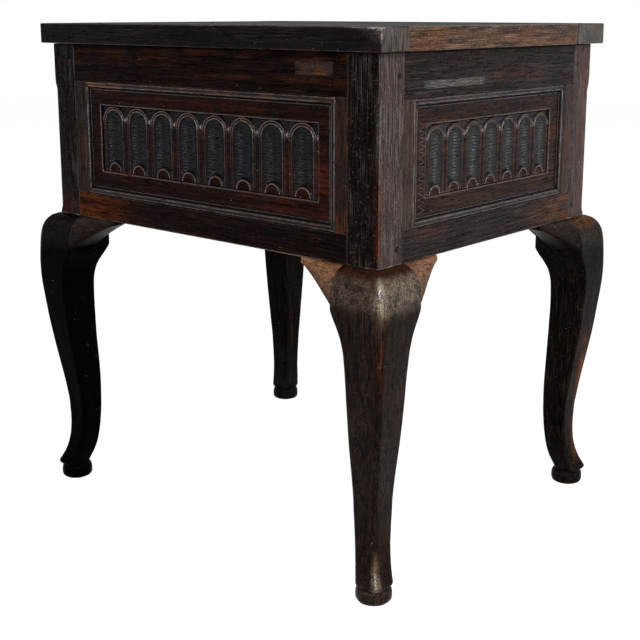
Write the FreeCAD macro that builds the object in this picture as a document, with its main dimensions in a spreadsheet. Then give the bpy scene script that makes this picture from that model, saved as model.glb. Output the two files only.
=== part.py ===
import FreeCAD, Part
import math
import os
import Sketcher
from FreeCAD import Placement, Rotation, Vector

# Oak bible box with a lifting lid on four cabriole legs.
# Millimetres, +Z up, origin on the floor under the centre of the box, front face towards -Y.

PARTS_FOLDER = "parts"

# Every independent size of the object, in millimetres, counts as plain numbers, angles in degrees.
SIZES = {
    # the box
    "case_width": 528.0,
    "case_depth": 432.0,
    "case_height": 218.5,
    "post_size": 41.0,
    "rail_thickness": 22.0,
    "front_top_rail": 45.5,
    "front_bottom_rail": 32.0,
    "side_top_rail": 48.0,
    "side_bottom_rail": 34.5,
    "front_stile": 17.0,
    "side_stile": 18.5,
    # joints of the box frame
    "tenon_setback": 7.0,
    "tenon_thickness": 8.0,
    "tenon_length": 24.0,
    "tenon_shoulder": 6.0,
    "joint_clearance": 0.1,
    "cut_overrun": 1.0,
    "peg_radius": 3.5,
    "peg_from_shoulder": 9.0,
    "peg_past_tenon": 2.5,
    "peg_proud": 0.4,
    "peg_clearance": 0.02,
    # stopped chamfer on the outer corner of each post
    "chamfer_width": 4.2,
    "chamfer_below_top": 46.0,
    "chamfer_runout": 8.0,
    "chamfer_fade": 0.3,
    # panels and their carving
    "panel_setback": 5.0,
    "panel_thickness": 11.0,
    "panel_tongue": 6.0,
    "panel_margin_top": 29.5,
    "panel_margin_bottom": 30.5,
    "front_margin_side": 27.5,
    "side_margin_side": 29.0,
    "field_depth": 1.6,
    "flute_depth": 3.6,
    "front_flute_rib": 15.5,
    "side_flute_rib": 10.5,
    "flute_head_gap": 5.0,
    "front_flutes": 8,
    "side_flutes": 7,
    # moulding round each panel
    "moulding_width": 10.5,
    "moulding_below_face": 1.0,
    "moulding_inner_below_face": 3.6,
    "moulding_quirk": 2.0,
    "moulding_gap": 0.1,
    # let-in patches
    "patch_thickness": 3.0,
    "front_patch_length": 52.0,
    "front_patch_height": 15.5,
    "front_patch_from_post": 19.2,
    "front_patch_below_top": 17.4,
    "side_patch_length": 118.0,
    "side_patch_height": 10.0,
    "side_patch_from_post": 31.8,
    "side_patch_below_top": 34.5,
    # floor of the box
    "bearer_size": 16.0,
    "floor_thickness": 10.0,
    "floor_board_gap": 0.6,
    "floor_side_clearance": 0.5,
    # legs
    "leg_height": 366.0,
    "leg_block": 44.0,
    "knee_reach": 24.6,
    "leg_round": 7.0,
    "foot_set_in": 4.35,
    "foot_radius": 20.4,
    "foot_height": 18.5,
    "foot_round": 5.0,
    "foot_neck_round": 4.5,
    "toe_overlap": 1.3,
    "leg_tenon_radius": 9.0,
    "leg_tenon_length": 40.0,
    "leg_tenon_wall": 3.0,
    "leg_tenon_clearance": 0.05,
    # ears beside the knees
    "ear_length": 60.0,
    "ear_height": 40.0,
    "ear_tip_height": 6.0,
    "ear_tip_reach": 2.4,
    "ear_curve_radius": 300.0,
    "knee_upper_radius": 27.7,
    "knee_lower_radius": 111.0,
    "glue_line": 0.05,
    # lid
    "lid_thickness": 25.0,
    "lid_overhang": 11.0,
    "lid_seat_gap": 0.5,
    "lid_front_rail": 45.0,
    "lid_back_rail": 66.0,
    "lid_end_rail": 62.0,
    "lid_board_thickness": 16.0,
    "lid_tongue_thickness": 7.0,
    "lid_tongue_length": 6.0,
    "lid_tongue_below_top": 5.0,
    "lid_tenon_thickness": 8.0,
    "lid_tenon_length": 32.0,
    "lid_tenon_shoulder": 7.0,
    "lid_tenon_below_top": 8.5,
    "lid_board_gap": 0.5,
    "lid_peg_radius": 3.25,
    "lid_peg_from_edge": 8.0,
    "lid_peg_past_tenon": 2.0,
    # butt hinges at the back
    "hinge_from_end": 109.0,
    "hinge_width": 48.0,
    "hinge_leaf": 17.0,
    "hinge_leaf_thickness": 1.6,
    "knuckle_radius": 3.0,
    "knuckle_gap": 0.3,
    "knuckle_clearance": 0.3,
    "hinge_recess_clearance": 0.1,
    "knuckle_notch_clearance": 0.6,
    "pin_radius": 1.4,
    "pin_fit": 0.02,
    "pin_running": 0.05,
    # nails of the hinges and of the floor
    "nail_radius": 1.2,
    "nail_head_radius": 2.6,
    "nail_head_thickness": 0.8,
    "nail_length": 12.0,
    "nail_clearance": 0.05,
    "nail_from_end": 7.0,
    "nail_from_edge": 6.5,
    "floor_nail_length": 18.0,
    "floor_nail_from_edge": 35.5,
}

# Three points of the knee's outer curve, shared by the leg and by the ears beside it: the height as
# a share of the leg's height above the toe, and the outer face as a share of the knee's reach.
KNEE_TOP_SHARES = (1.000, 0.120)
KNEE_TURN_SHARES = (0.944, 0.860)
KNEE_WIDEST_SHARES = (0.855, 1.000)

# Outline of the cabriole leg, in two runs: the knee block with its flat glue faces, and the shaft from
# there down to the toe. Each row gives the height and the outer face as above, then the inner face as
# a share of the knee block, and the rounding of the outer corner and of the other corners as shares
# of the knee's rounding.
KNEE_SECTION_SHARES = (
    (*KNEE_TOP_SHARES, 1.000, 0.30, 0.12),
    (0.994, 0.340, 1.000, 0.45, 0.12),
    (0.983, 0.530, 1.000, 0.65, 0.12),
    (0.967, 0.715, 1.000, 0.85, 0.12),
    (*KNEE_TURN_SHARES, 1.000, 1.00, 0.12),
    (0.914, 0.950, 1.000, 1.10, 0.12),
    (0.882, 0.992, 1.000, 1.15, 0.12),
)
SHAFT_SECTION_SHARES = (
    KNEE_SECTION_SHARES[-1],
    (*KNEE_WIDEST_SHARES, 0.932, 1.15, 0.25),
    (0.823, 0.992, 0.812, 1.10, 0.40),
    (0.788, 0.970, 0.716, 1.05, 0.52),
    (0.738, 0.918, 0.664, 1.00, 0.60),
    (0.667, 0.820, 0.655, 0.95, 0.62),
    (0.581, 0.695, 0.668, 0.90, 0.62),
    (0.495, 0.535, 0.686, 0.85, 0.62),
    (0.409, 0.350, 0.706, 0.80, 0.62),
    (0.323, 0.172, 0.720, 0.75, 0.62),
    (0.252, 0.068, 0.714, 0.72, 0.62),
    (0.186, 0.048, 0.690, 0.72, 0.64),
    (0.128, 0.095, 0.650, 0.78, 0.70),
    (0.085, 0.210, 0.602, 0.90, 0.82),
    (0.054, 0.350, 0.550, 1.10, 1.00),
    (0.028, 0.520, 0.490, 1.30, 1.25),
    (0.009, 0.640, 0.448, 1.45, 1.45),
    (0.000, 0.540, 0.430, 1.40, 1.40),
)
# How high the round head of a flute, and the lobe at its foot, rise for half of the flute's width.
FLUTE_RISE_SHARE = 0.9

QUARTER_TURN = 90.0
VOLUME_ROUNDING = 1e-6

document = FreeCAD.newDocument("bible_box")
sheet = document.addObject("Spreadsheet::Sheet", "sizes")


class Size:
    """A number of the model, with the formula that ties it to the sheet of sizes."""

    def __init__(self, value, formula):
        self.value = value
        self.formula = formula

    def combined(self, other, sign, value, swapped=False):
        other_formula = other.formula if isinstance(other, Size) else repr(float(other))
        first, second = (other_formula, self.formula) if swapped else (self.formula, other_formula)
        return Size(value, f"({first} {sign} {second})")

    def __add__(self, other):
        return self.combined(other, "+", self.value + number(other))

    def __radd__(self, other):
        return self.combined(other, "+", number(other) + self.value, swapped=True)

    def __sub__(self, other):
        return self.combined(other, "-", self.value - number(other))

    def __rsub__(self, other):
        return self.combined(other, "-", number(other) - self.value, swapped=True)

    def __mul__(self, other):
        return self.combined(other, "*", self.value * number(other))

    def __rmul__(self, other):
        return self.combined(other, "*", number(other) * self.value, swapped=True)

    def __truediv__(self, other):
        return self.combined(other, "/", self.value / number(other))

    def __neg__(self):
        return Size(-self.value, f"(0 - {self.formula})")


def number(size):
    """The plain number of a size."""
    return size.value if isinstance(size, Size) else float(size)


def fill_sheet():
    """Write every size into the sheet under its own alias."""
    for row, (alias, value) in enumerate(SIZES.items(), start=1):
        cell = f"A{row}"
        sheet.set(cell, str(value))
        sheet.setAlias(cell, alias)
    document.recompute()
    return {alias: Size(float(value), f"sizes.{alias}") for alias, value in SIZES.items()}


S = fill_sheet()
ZERO = Size(0.0, "0")


def bind(item, prop, size):
    """Tie one property to the sheet."""
    if isinstance(size, Size):
        item.setExpression(prop, size.formula)
    else:
        setattr(item, prop, size)


def bind_place(item, base, quarter_turns=0):
    """Place an object at a base point of sheet sizes, turned about the upright axis."""
    upright = Rotation(Vector(0, 0, 1), QUARTER_TURN * quarter_turns)
    item.Placement = Placement(Vector(*[number(value) for value in base]), upright)
    for axis, value in zip("xyz", base):
        bind(item, f"Placement.Base.{axis}", value if isinstance(value, Size) else ZERO)


# Plain joinery: boards and cylinders, joined and cut.

def block(name, x, y, z):
    """A board between two limits on each axis."""
    item = document.addObject("Part::Box", name)
    for prop, axis, (low, high) in zip(("Length", "Width", "Height"), "xyz", (x, y, z)):
        bind(item, prop, high - low)
        bind(item, f"Placement.Base.{axis}", low if isinstance(low, Size) else ZERO)
    return item


AXIS_ROTATIONS = {
    "x": Rotation(Vector(0, 1, 0), QUARTER_TURN),
    "y": Rotation(Vector(1, 0, 0), -QUARTER_TURN),
    "z": Rotation(),
}


def rod(name, axis, start, length, radius):
    """A cylinder from a start point along one axis."""
    item = document.addObject("Part::Cylinder", name)
    item.Placement = Placement(Vector(), AXIS_ROTATIONS[axis])
    bind(item, "Radius", radius)
    bind(item, "Height", length)
    for letter, value in zip("xyz", start):
        bind(item, f"Placement.Base.{letter}", value if isinstance(value, Size) else ZERO)
    return item


def joined(name, pieces):
    """Pieces grown together into one solid."""
    item = document.addObject("Part::MultiFuse", name)
    item.Shapes = pieces
    return item


def group(name, pieces):
    """Separate solids kept together in one object."""
    item = document.addObject("Part::Compound", name)
    item.Links = pieces
    return item


def cut(name, base, tools):
    """A piece with tools cut away from it."""
    item = document.addObject("Part::Cut", name)
    item.Base = base
    item.Tool = tools[0] if len(tools) == 1 else group(f"{name}_tools", tools)
    return item


# Shaped pieces: bodies with sketches on their own origin planes.

def new_body(label):
    """An empty body for one sub-part."""
    item = document.addObject("PartDesign::Body", label)
    item.Label = label
    return item


def plane_of(body, role):
    """One of the body's own origin planes."""
    return next(plane for plane in body.Origin.OriginFeatures if plane.Role == role)


def arc_between(start, end, radius, side):
    """An arc from start to end, bulging to the right of the way along for side +1, left for -1."""
    chord = end - start
    half = chord.Length / 2
    across = Vector(chord.y, -chord.x, 0).normalize() * side
    centre = (start + end) / 2 - across * math.sqrt(max(radius * radius - half * half, 0.0))
    circle = Part.Circle(centre, Vector(0, 0, 1), radius)
    first = math.atan2(start.y - centre.y, start.x - centre.x)
    last = math.atan2(end.y - centre.y, end.x - centre.x)
    if side > 0:
        return Part.ArcOfCircle(circle, first, last), 1, 2
    return Part.ArcOfCircle(circle, last, first), 2, 1


def outline(body, name, role, points, offset=ZERO, arcs=None):
    """A closed sketch through points of sheet sizes.

    arcs maps the number of an edge to its radius and the side to which it bulges.
    """
    arcs = arcs or {}
    sketch = body.newObject("Sketcher::SketchObject", name)
    sketch.AttachmentSupport = [(plane_of(body, role), "")]
    sketch.MapMode = "FlatFace"
    sketch.AttachmentOffset = Placement(Vector(0, 0, number(offset)), Rotation())
    bind(sketch, "AttachmentOffset.Base.z", offset)
    places = [Vector(number(x), number(y), 0) for x, y in points]
    starts, ends = [], []
    for index, start in enumerate(places):
        end = places[(index + 1) % len(places)]
        if index in arcs:
            radius, side = arcs[index]
            edge, first, last = arc_between(start, end, number(radius), side)
        else:
            edge, first, last = Part.LineSegment(start, end), 1, 2
        sketch.addGeometry(edge, False)
        starts.append(first)
        ends.append(last)
    for index in range(len(places)):
        after = (index + 1) % len(places)
        sketch.addConstraint(Sketcher.Constraint("Coincident", index, ends[index], after, starts[after]))
    for index, point in enumerate(points):
        for kind, value in zip(("DistanceX", "DistanceY"), point):
            place = sketch.addConstraint(
                Sketcher.Constraint(kind, -1, 1, index, starts[index], number(value)))
            if isinstance(value, Size):
                sketch.setExpression(f"Constraints[{place}]", value.formula)
    for index, (radius, _) in arcs.items():
        place = sketch.addConstraint(Sketcher.Constraint("Radius", index, number(radius)))
        sketch.setExpression(f"Constraints[{place}]", radius.formula)
    return sketch


def disc(body, name, role, centre, radius, offset=ZERO):
    """A round sketch."""
    sketch = body.newObject("Sketcher::SketchObject", name)
    sketch.AttachmentSupport = [(plane_of(body, role), "")]
    sketch.MapMode = "FlatFace"
    sketch.AttachmentOffset = Placement(Vector(0, 0, number(offset)), Rotation())
    bind(sketch, "AttachmentOffset.Base.z", offset)
    middle = Vector(number(centre[0]), number(centre[1]), 0)
    sketch.addGeometry(Part.Circle(middle, Vector(0, 0, 1), number(radius)), False)
    for kind, value in zip(("DistanceX", "DistanceY"), centre):
        place = sketch.addConstraint(Sketcher.Constraint(kind, -1, 1, 0, 3, number(value)))
        sketch.setExpression(f"Constraints[{place}]", value.formula)
    place = sketch.addConstraint(Sketcher.Constraint("Radius", 0, number(radius)))
    sketch.setExpression(f"Constraints[{place}]", radius.formula)
    return sketch


def rectangle(x, y):
    """The four corners between two limits on each axis."""
    return [(x[0], y[0]), (x[1], y[0]), (x[1], y[1]), (x[0], y[1])]


def pad(body, name, sketch, length, backwards=False):
    """Grow a sketch into solid along its normal."""
    item = body.newObject("PartDesign::Pad", name)
    item.Profile = sketch
    item.Reversed = backwards
    bind(item, "Length", length)
    return item


def pocket(body, name, sketch, depth, backwards=False):
    """Cut a sketch away against its normal, or along it when backwards."""
    item = body.newObject("PartDesign::Pocket", name)
    item.Profile = sketch
    item.Reversed = backwards
    bind(item, "Length", depth)
    return item


def loft(body, name, kind, sketches, ruled=False):
    """A loft through sketches, added to the body or taken from it."""
    item = body.newObject(f"PartDesign::{kind}", name)
    item.Profile = sketches[0]
    item.Sections = sketches[1:]
    item.Ruled = ruled
    return item


# Levels and places that several pieces share.
case_bottom = S["leg_height"]
case_top = case_bottom + S["case_height"]
lid_bottom = case_top + S["lid_seat_gap"]
lid_top = lid_bottom + S["lid_thickness"]
tenon_back = S["tenon_setback"] + S["tenon_thickness"]
panel_back = S["panel_setback"] + S["panel_thickness"]
half_width = S["case_width"] / 2
half_depth = S["case_depth"] / 2
hinge_nail_pitch = S["hinge_width"] / 2 - S["nail_from_end"]
leg_tenon_set_in = S["post_size"] - S["leg_tenon_wall"] - S["leg_tenon_radius"]
toe_level = S["foot_height"] - S["toe_overlap"]


class Side:
    """One side of the box in its own frame: x along it, y inwards from its face, z up."""

    def __init__(self, name, length, turn, base, top_rail, bottom_rail, stile, margin, flutes, rib):
        self.name = name
        self.length = length
        self.turn = turn
        self.base = base
        self.stile = stile
        self.margin = margin
        self.flutes = flutes
        self.rib = rib
        self.half_clear = length / 2 - S["post_size"]
        self.half_opening = self.half_clear - stile
        self.opening_top = case_top - top_rail
        self.opening_bottom = case_bottom + bottom_rail
        self.rails = {"top": (self.opening_top, case_top), "bottom": (case_bottom, self.opening_bottom)}

    def place(self, item):
        """Turn a finished piece from the side's frame to its place on the box."""
        bind_place(item, self.base, self.turn)
        return item

    def tenon_span(self, rail):
        """The lower and upper edge of a rail's tenon."""
        low, high = self.rails[rail]
        return low + S["tenon_shoulder"], high - S["tenon_shoulder"]

    def peg_level(self, rail):
        """The height of the peg through a rail's tenon."""
        low, high = self.rails[rail]
        return (low + high) / 2


SIDES = {
    "front": Side("front", S["case_width"], 0, (ZERO, -half_depth, ZERO), S["front_top_rail"],
                  S["front_bottom_rail"], S["front_stile"], S["front_margin_side"], S["front_flutes"],
                  S["front_flute_rib"]),
    "right": Side("right", S["case_depth"], 1, (half_width, ZERO, ZERO), S["side_top_rail"],
                  S["side_bottom_rail"], S["side_stile"], S["side_margin_side"], S["side_flutes"],
                  S["side_flute_rib"]),
    "back": Side("back", S["case_width"], 2, (ZERO, half_depth, ZERO), S["front_top_rail"],
                 S["front_bottom_rail"], S["front_stile"], S["front_margin_side"], None, None),
    "left": Side("left", S["case_depth"], 3, (-half_width, ZERO, ZERO), S["side_top_rail"],
                 S["side_bottom_rail"], S["side_stile"], S["side_margin_side"], S["side_flutes"],
                 S["side_flute_rib"]),
}

# Each corner of the box: its place, its quarter turns, and the sides that meet there. In a corner's
# own frame the outer corner is the origin, the first side runs towards -x, the second towards +y.
CORNERS = {
    "front_right": ((half_width, -half_depth, ZERO), 0, "front", "right"),
    "back_right": ((half_width, half_depth, ZERO), 1, "right", "back"),
    "back_left": ((-half_width, half_depth, ZERO), 2, "back", "left"),
    "front_left": ((-half_width, -half_depth, ZERO), 3, "left", "front"),
}


def make_post(corner):
    """A square post with mortises, peg holes, a stopped chamfer and a socket for the leg."""
    base, turn, first_side, second_side = CORNERS[corner]
    label = f"post_{corner}"
    size = S["post_size"]
    body = new_body(label)
    section = outline(body, f"{label}_section", "XY_Plane", rectangle((-size, ZERO), (ZERO, size)), case_bottom)
    pad(body, f"{label}_timber", section, S["case_height"])
    clearance = S["joint_clearance"]
    depth = S["tenon_length"] + clearance
    near, far = S["tenon_setback"] - clearance, tenon_back + clearance
    for rail in ("top", "bottom"):
        low, high = SIDES[first_side].tenon_span(rail)
        mouth = outline(body, f"{label}_first_{rail}", "YZ_Plane",
                        rectangle((near, far), (low - clearance, high + clearance)), -size)
        pocket(body, f"{label}_first_{rail}_mortise", mouth, depth, backwards=True)
        low, high = SIDES[second_side].tenon_span(rail)
        mouth = outline(body, f"{label}_second_{rail}", "XZ_Plane",
                        rectangle((-far, -near), (low - clearance, high + clearance)), -size)
        pocket(body, f"{label}_second_{rail}_mortise", mouth, depth, backwards=True)
    hole = S["peg_radius"] + S["peg_clearance"]
    inward = size - S["peg_from_shoulder"]
    length = tenon_back + S["peg_past_tenon"] + clearance
    for rail in ("top", "bottom"):
        level = SIDES[first_side].peg_level(rail)
        mouth = disc(body, f"{label}_first_{rail}_peg", "XZ_Plane", (-inward, level), hole)
        pocket(body, f"{label}_first_{rail}_peg_hole", mouth, length)
        level = SIDES[second_side].peg_level(rail)
        mouth = disc(body, f"{label}_second_{rail}_peg", "YZ_Plane", (inward, level), hole)
        pocket(body, f"{label}_second_{rail}_peg_hole", mouth, length)
    socket = disc(body, f"{label}_socket_mouth", "XY_Plane", (-leg_tenon_set_in, leg_tenon_set_in),
                  S["leg_tenon_radius"] + S["leg_tenon_clearance"], case_bottom)
    pocket(body, f"{label}_socket", socket, S["leg_tenon_length"] + S["cut_overrun"], backwards=True)
    width, over = S["chamfer_width"], S["cut_overrun"]
    stop = case_top - S["chamfer_below_top"]

    def corner_triangle(name, size_now, level):
        points = [(over, -over), (over, size_now), (-size_now, -over)]
        return outline(body, name, "XY_Plane", points, level)

    run = corner_triangle(f"{label}_chamfer_section", width, stop)
    pocket(body, f"{label}_chamfer", run, stop - case_bottom + over)
    wide = corner_triangle(f"{label}_runout_wide", width, stop)
    narrow = corner_triangle(f"{label}_runout_narrow", S["chamfer_fade"] - over, stop + S["chamfer_runout"])
    body.Tip = loft(body, f"{label}_runout", "SubtractiveLoft", [wide, narrow], ruled=True)
    bind_place(body, base, turn)
    return body


def make_rail(side, rail):
    """A rail with a tenon at each end, a groove for the panel, and peg holes."""
    label = f"{side.name}_{rail}_rail"
    low, high = side.rails[rail]
    half = side.half_clear
    timber = block(f"{label}_timber", (-half, half), (ZERO, S["rail_thickness"]), (low, high))
    span = side.tenon_span(rail)
    tenon = block(f"{label}_tenons", (-half - S["tenon_length"], half + S["tenon_length"]),
                  (S["tenon_setback"], tenon_back), span)
    clearance = S["joint_clearance"]
    groove = (S["panel_setback"] - clearance, panel_back + clearance)
    over = S["cut_overrun"]
    tongue = S["panel_tongue"] + clearance
    if rail == "top":
        cuts = [block(f"{label}_groove", (-side.half_clear, side.half_clear), groove, (low - over, low + tongue))]
    else:
        cuts = [block(f"{label}_groove", (-side.half_clear, side.half_clear), groove, (high - tongue, high + over))]
    hole = S["peg_radius"] + S["peg_clearance"]
    for end, sign in (("left", -1), ("right", 1)):
        place = (side.half_clear + S["peg_from_shoulder"]) * sign
        cuts.append(rod(f"{label}_{end}_peg_hole", "y", (place, ZERO, side.peg_level(rail)),
                        S["rail_thickness"], hole))
    cuts += rail_recesses(side, rail, label)
    result = cut(label, joined(f"{label}_whole", [timber, tenon]), cuts)
    return side.place(result)


def rail_recesses(side, rail, label):
    """What else is let into a rail: the patches, and the hinge leaves with their nail holes."""
    clearance, over = S["joint_clearance"], S["cut_overrun"]
    if rail == "bottom" or side.name == "left":
        return []
    if side.name in PATCHES:
        x, z = patch_limits(side.name)
        return [block(f"{label}_patch_recess", (x[0] - clearance, x[1] + clearance),
                      (-over, S["patch_thickness"] + clearance), (z[0] - clearance, z[1] + clearance))]
    cuts = []
    clearance = S["hinge_recess_clearance"]
    for name, middle in HINGES.items():
        half = S["hinge_width"] / 2 + clearance
        centre = -middle
        cuts.append(block(f"{label}_{name}_recess", (centre - half, centre + half),
                          (-over, S["hinge_leaf"] + clearance),
                          (case_top - S["hinge_leaf_thickness"] - clearance, case_top + over)))
        for count, step in enumerate((-1, 0, 1)):
            start = (centre + hinge_nail_pitch * step, S["hinge_leaf"] - S["nail_from_edge"],
                     case_top - S["nail_length"] - clearance)
            cuts.append(rod(f"{label}_{name}_nail_hole_{count}", "z", start, S["nail_length"] + over,
                            S["nail_radius"] + S["nail_clearance"]))
    return cuts


# The patched sides, with the names of their patch's sizes and the end that it lies towards.
PATCHES = {"front": ("front_patch", 1), "right": ("side_patch", -1)}

# Hinges by name, with the place of their middle along the back, seen in the object's frame.
HINGES = {"left": S["hinge_from_end"] - half_width, "right": half_width - S["hinge_from_end"]}


def patch_limits(side_name):
    """Where a let-in patch lies along and up its rail."""
    patch, sign = PATCHES[side_name]
    level = case_top - S[f"{patch}_below_top"]
    half_height = S[f"{patch}_height"] / 2
    outer = SIDES[side_name].half_clear - S[f"{patch}_from_post"]
    inner = outer - S[f"{patch}_length"]
    x = (inner, outer) if sign > 0 else (-outer, -inner)
    return x, (level - half_height, level + half_height)


def make_patch(side_name):
    """A thin slip of oak let into a top rail."""
    x, z = patch_limits(side_name)
    patch = block(f"{side_name}_patch", x, (ZERO, S["patch_thickness"]), z)
    return turned_block(patch, SIDES[side_name])


def turned_block(item, side):
    """A single board kept in its side's frame inside a group, so that the group can be placed."""
    name = item.Name
    item.Label = f"{name}_timber"
    result = group(f"{name}_placed", [item])
    side.place(result)
    result.Label = name
    return result


def make_stiles(side):
    """The pair of narrow uprights between the rails, beside the posts."""
    label = f"{side.name}_stiles"
    clearance, over = S["joint_clearance"], S["cut_overrun"]
    level = (side.opening_bottom, side.opening_top)
    groove = (S["panel_setback"] - clearance, panel_back + clearance)
    tongue = S["panel_tongue"] + clearance
    uprights = []
    for end, sign in (("left", -1), ("right", 1)):
        outer, inner = side.half_clear * sign, side.half_opening * sign
        x = (outer, inner) if sign < 0 else (inner, outer)
        timber = block(f"{label}_{end}_timber", x, (ZERO, S["rail_thickness"]), level)
        inner_edge = (inner - tongue, inner + over) if sign < 0 else (inner - over, inner + tongue)
        slot = block(f"{label}_{end}_groove", inner_edge, groove, (level[0] - over, level[1] + over))
        uprights.append(cut(f"{label}_{end}", timber, [slot]))
    return side.place(group(label, uprights))


def make_panel(side):
    """A panel in its groove, with a sunk field of round-headed flutes where it is carved."""
    label = f"{side.name}_panel"
    tongue, clearance = S["panel_tongue"], S["joint_clearance"]
    half = side.half_opening + tongue - clearance
    low = side.opening_bottom - tongue + clearance
    high = side.opening_top + tongue - clearance
    body = new_body(label)
    board = outline(body, f"{label}_outline", "XZ_Plane", rectangle((-half, half), (low, high)), -S["panel_setback"])
    tip = pad(body, f"{label}_board", board, S["panel_thickness"], backwards=True)
    if side.flutes is not None:
        tip = carve_flutes(side, body, label)
    body.Tip = tip
    return side.place(body)


def carve_flutes(side, body, label):
    """Sink the field of a panel and cut its row of flutes, each with a round lobe at its foot."""
    field_half = side.half_opening - side.margin
    field_low = side.opening_bottom + S["panel_margin_bottom"]
    field_high = side.opening_top - S["panel_margin_top"]
    sunk = outline(body, f"{label}_field", "XZ_Plane",
                   rectangle((-field_half, field_half), (field_low, field_high)), -S["panel_setback"])
    pocket(body, f"{label}_sunk_field", sunk, S["field_depth"])
    pitch = field_half * 2 / side.flutes
    flute_half = (pitch - side.rib) / 2
    head = field_high - S["flute_head_gap"] - flute_half * FLUTE_RISE_SHARE
    middle = -field_half + pitch / 2
    left, right = middle - flute_half, middle + flute_half
    round_radius = flute_half * ((1 + FLUTE_RISE_SHARE ** 2) / (FLUTE_RISE_SHARE * 2))
    points = [(left, field_low), (right, field_low), (right, head), (left, head)]
    arcs = {0: (round_radius, -1), 2: (round_radius, 1)}
    shape = outline(body, f"{label}_flute_outline", "XZ_Plane", points, -S["panel_setback"] - S["field_depth"], arcs)
    flute = pocket(body, f"{label}_flute", shape, S["flute_depth"])
    row = body.newObject("PartDesign::LinearPattern", f"{label}_flutes")
    row.Originals = [flute]
    row.Direction = (shape, ["H_Axis"])
    row.Length = number(pitch * (side.flutes - 1))
    bind(row, "Length", pitch * (side.flutes - 1))
    bind(row, "Occurrences", side.flutes)
    return row


def make_moulding(side):
    """Four mitred strips round the panel: a soft bead outside and a quirk beside the panel."""
    label = f"{side.name}_moulding"
    gap = number(S["moulding_gap"])
    width = number(S["moulding_width"])
    back = number(S["panel_setback"])
    outer, inner = number(S["moulding_below_face"]), number(S["moulding_inner_below_face"])
    quirk = number(S["moulding_quirk"])
    # the section: distance in from the frame's edge, and depth below the frame's face
    profile = (
        (gap, back),
        (gap, outer + quirk / 2),
        (gap + quirk / 2, outer),
        (width / 2, outer),
        (width - quirk, (outer + inner) / 2),
        (width, inner),
        (width, back),
    )
    half = number(side.half_opening)
    low, high = number(side.opening_bottom), number(side.opening_top)

    def corner_point(sign_x, upper, inwards, depth):
        height = high - inwards if upper else low + inwards
        return Vector((half - inwards) * sign_x, depth, height)

    corners = [(-1, False), (1, False), (1, True), (-1, True)]
    strips = []
    for index, start in enumerate(corners):
        end = corners[(index + 1) % len(corners)]
        run = corner_point(*end, 0, 0) - corner_point(*start, 0, 0)
        mitre = run.normalize() * gap
        sections = []
        for corner, shift in ((start, mitre), (end, -mitre)):
            points = [corner_point(*corner, inwards, depth) + shift for inwards, depth in profile]
            sections.append(Part.makePolygon(points + points[:1]))
        strips.append(Part.makeLoft(sections, True, True))
    item = document.addObject("Part::Feature", label)
    item.Shape = Part.makeCompound(strips)
    return side.place(item)


def leg_level(share):
    """A height on the leg from its share of the leg's height above the toe."""
    return toe_level + (case_bottom - toe_level) * share


def leg_section(body, name, row):
    """A square section of the leg between its inner and outer faces, with rounded corners."""
    height, outer_share, inner_share, round_share, soft_share = row
    high, low = S["knee_reach"] * outer_share, S["leg_block"] * inner_share
    corner, soft = S["leg_round"] * round_share, S["leg_round"] * soft_share
    points = [
        (-low + soft, -high), (high - corner, -high), (high, -high + corner), (high, low - soft),
        (high - soft, low), (-low + soft, low), (-low, low - soft), (-low, -high + soft),
    ]
    arcs = {1: (corner, 1), 3: (soft, 1), 5: (soft, 1), 7: (soft, 1)}
    return outline(body, name, "XY_Plane", points, leg_level(height), arcs)


def make_leg(corner):
    """A cabriole leg: square section with soft corners, knee block, pad foot and top tenon."""
    base, turn, _, _ = CORNERS[corner]
    label = f"leg_{corner}"
    body = new_body(label)
    for run, rows in (("knee", KNEE_SECTION_SHARES), ("shaft", SHAFT_SECTION_SHARES)):
        sections = [leg_section(body, f"{label}_{run}_{count}", row) for count, row in enumerate(rows)]
        loft(body, f"{label}_{run}", "AdditiveLoft", sections)
    centre, radius = S["foot_set_in"], S["foot_radius"]
    neck, soft = S["foot_neck_round"], S["foot_round"]
    half_profile = [
        (ZERO, ZERO), (radius - soft, ZERO), (radius, soft), (radius, S["foot_height"] - neck),
        (radius - neck, S["foot_height"]), (ZERO, S["foot_height"]),
    ]
    turned = outline(body, f"{label}_pad_profile", "XZ_Plane", [(x - centre, y) for x, y in half_profile],
                     -centre, {1: (soft, 1), 3: (neck, 1)})
    pad_foot = body.newObject("PartDesign::Revolution", f"{label}_pad")
    pad_foot.Profile = turned
    pad_foot.ReferenceAxis = (turned, [f"Edge{len(half_profile)}"])
    pad_foot.Angle = QUARTER_TURN * 4
    tenon = disc(body, f"{label}_tenon_section", "XY_Plane", (-leg_tenon_set_in, leg_tenon_set_in), S["leg_tenon_radius"], case_bottom)
    body.Tip = pad(body, f"{label}_tenon", tenon, S["leg_tenon_length"])
    bind_place(body, base, turn)
    return body


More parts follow.
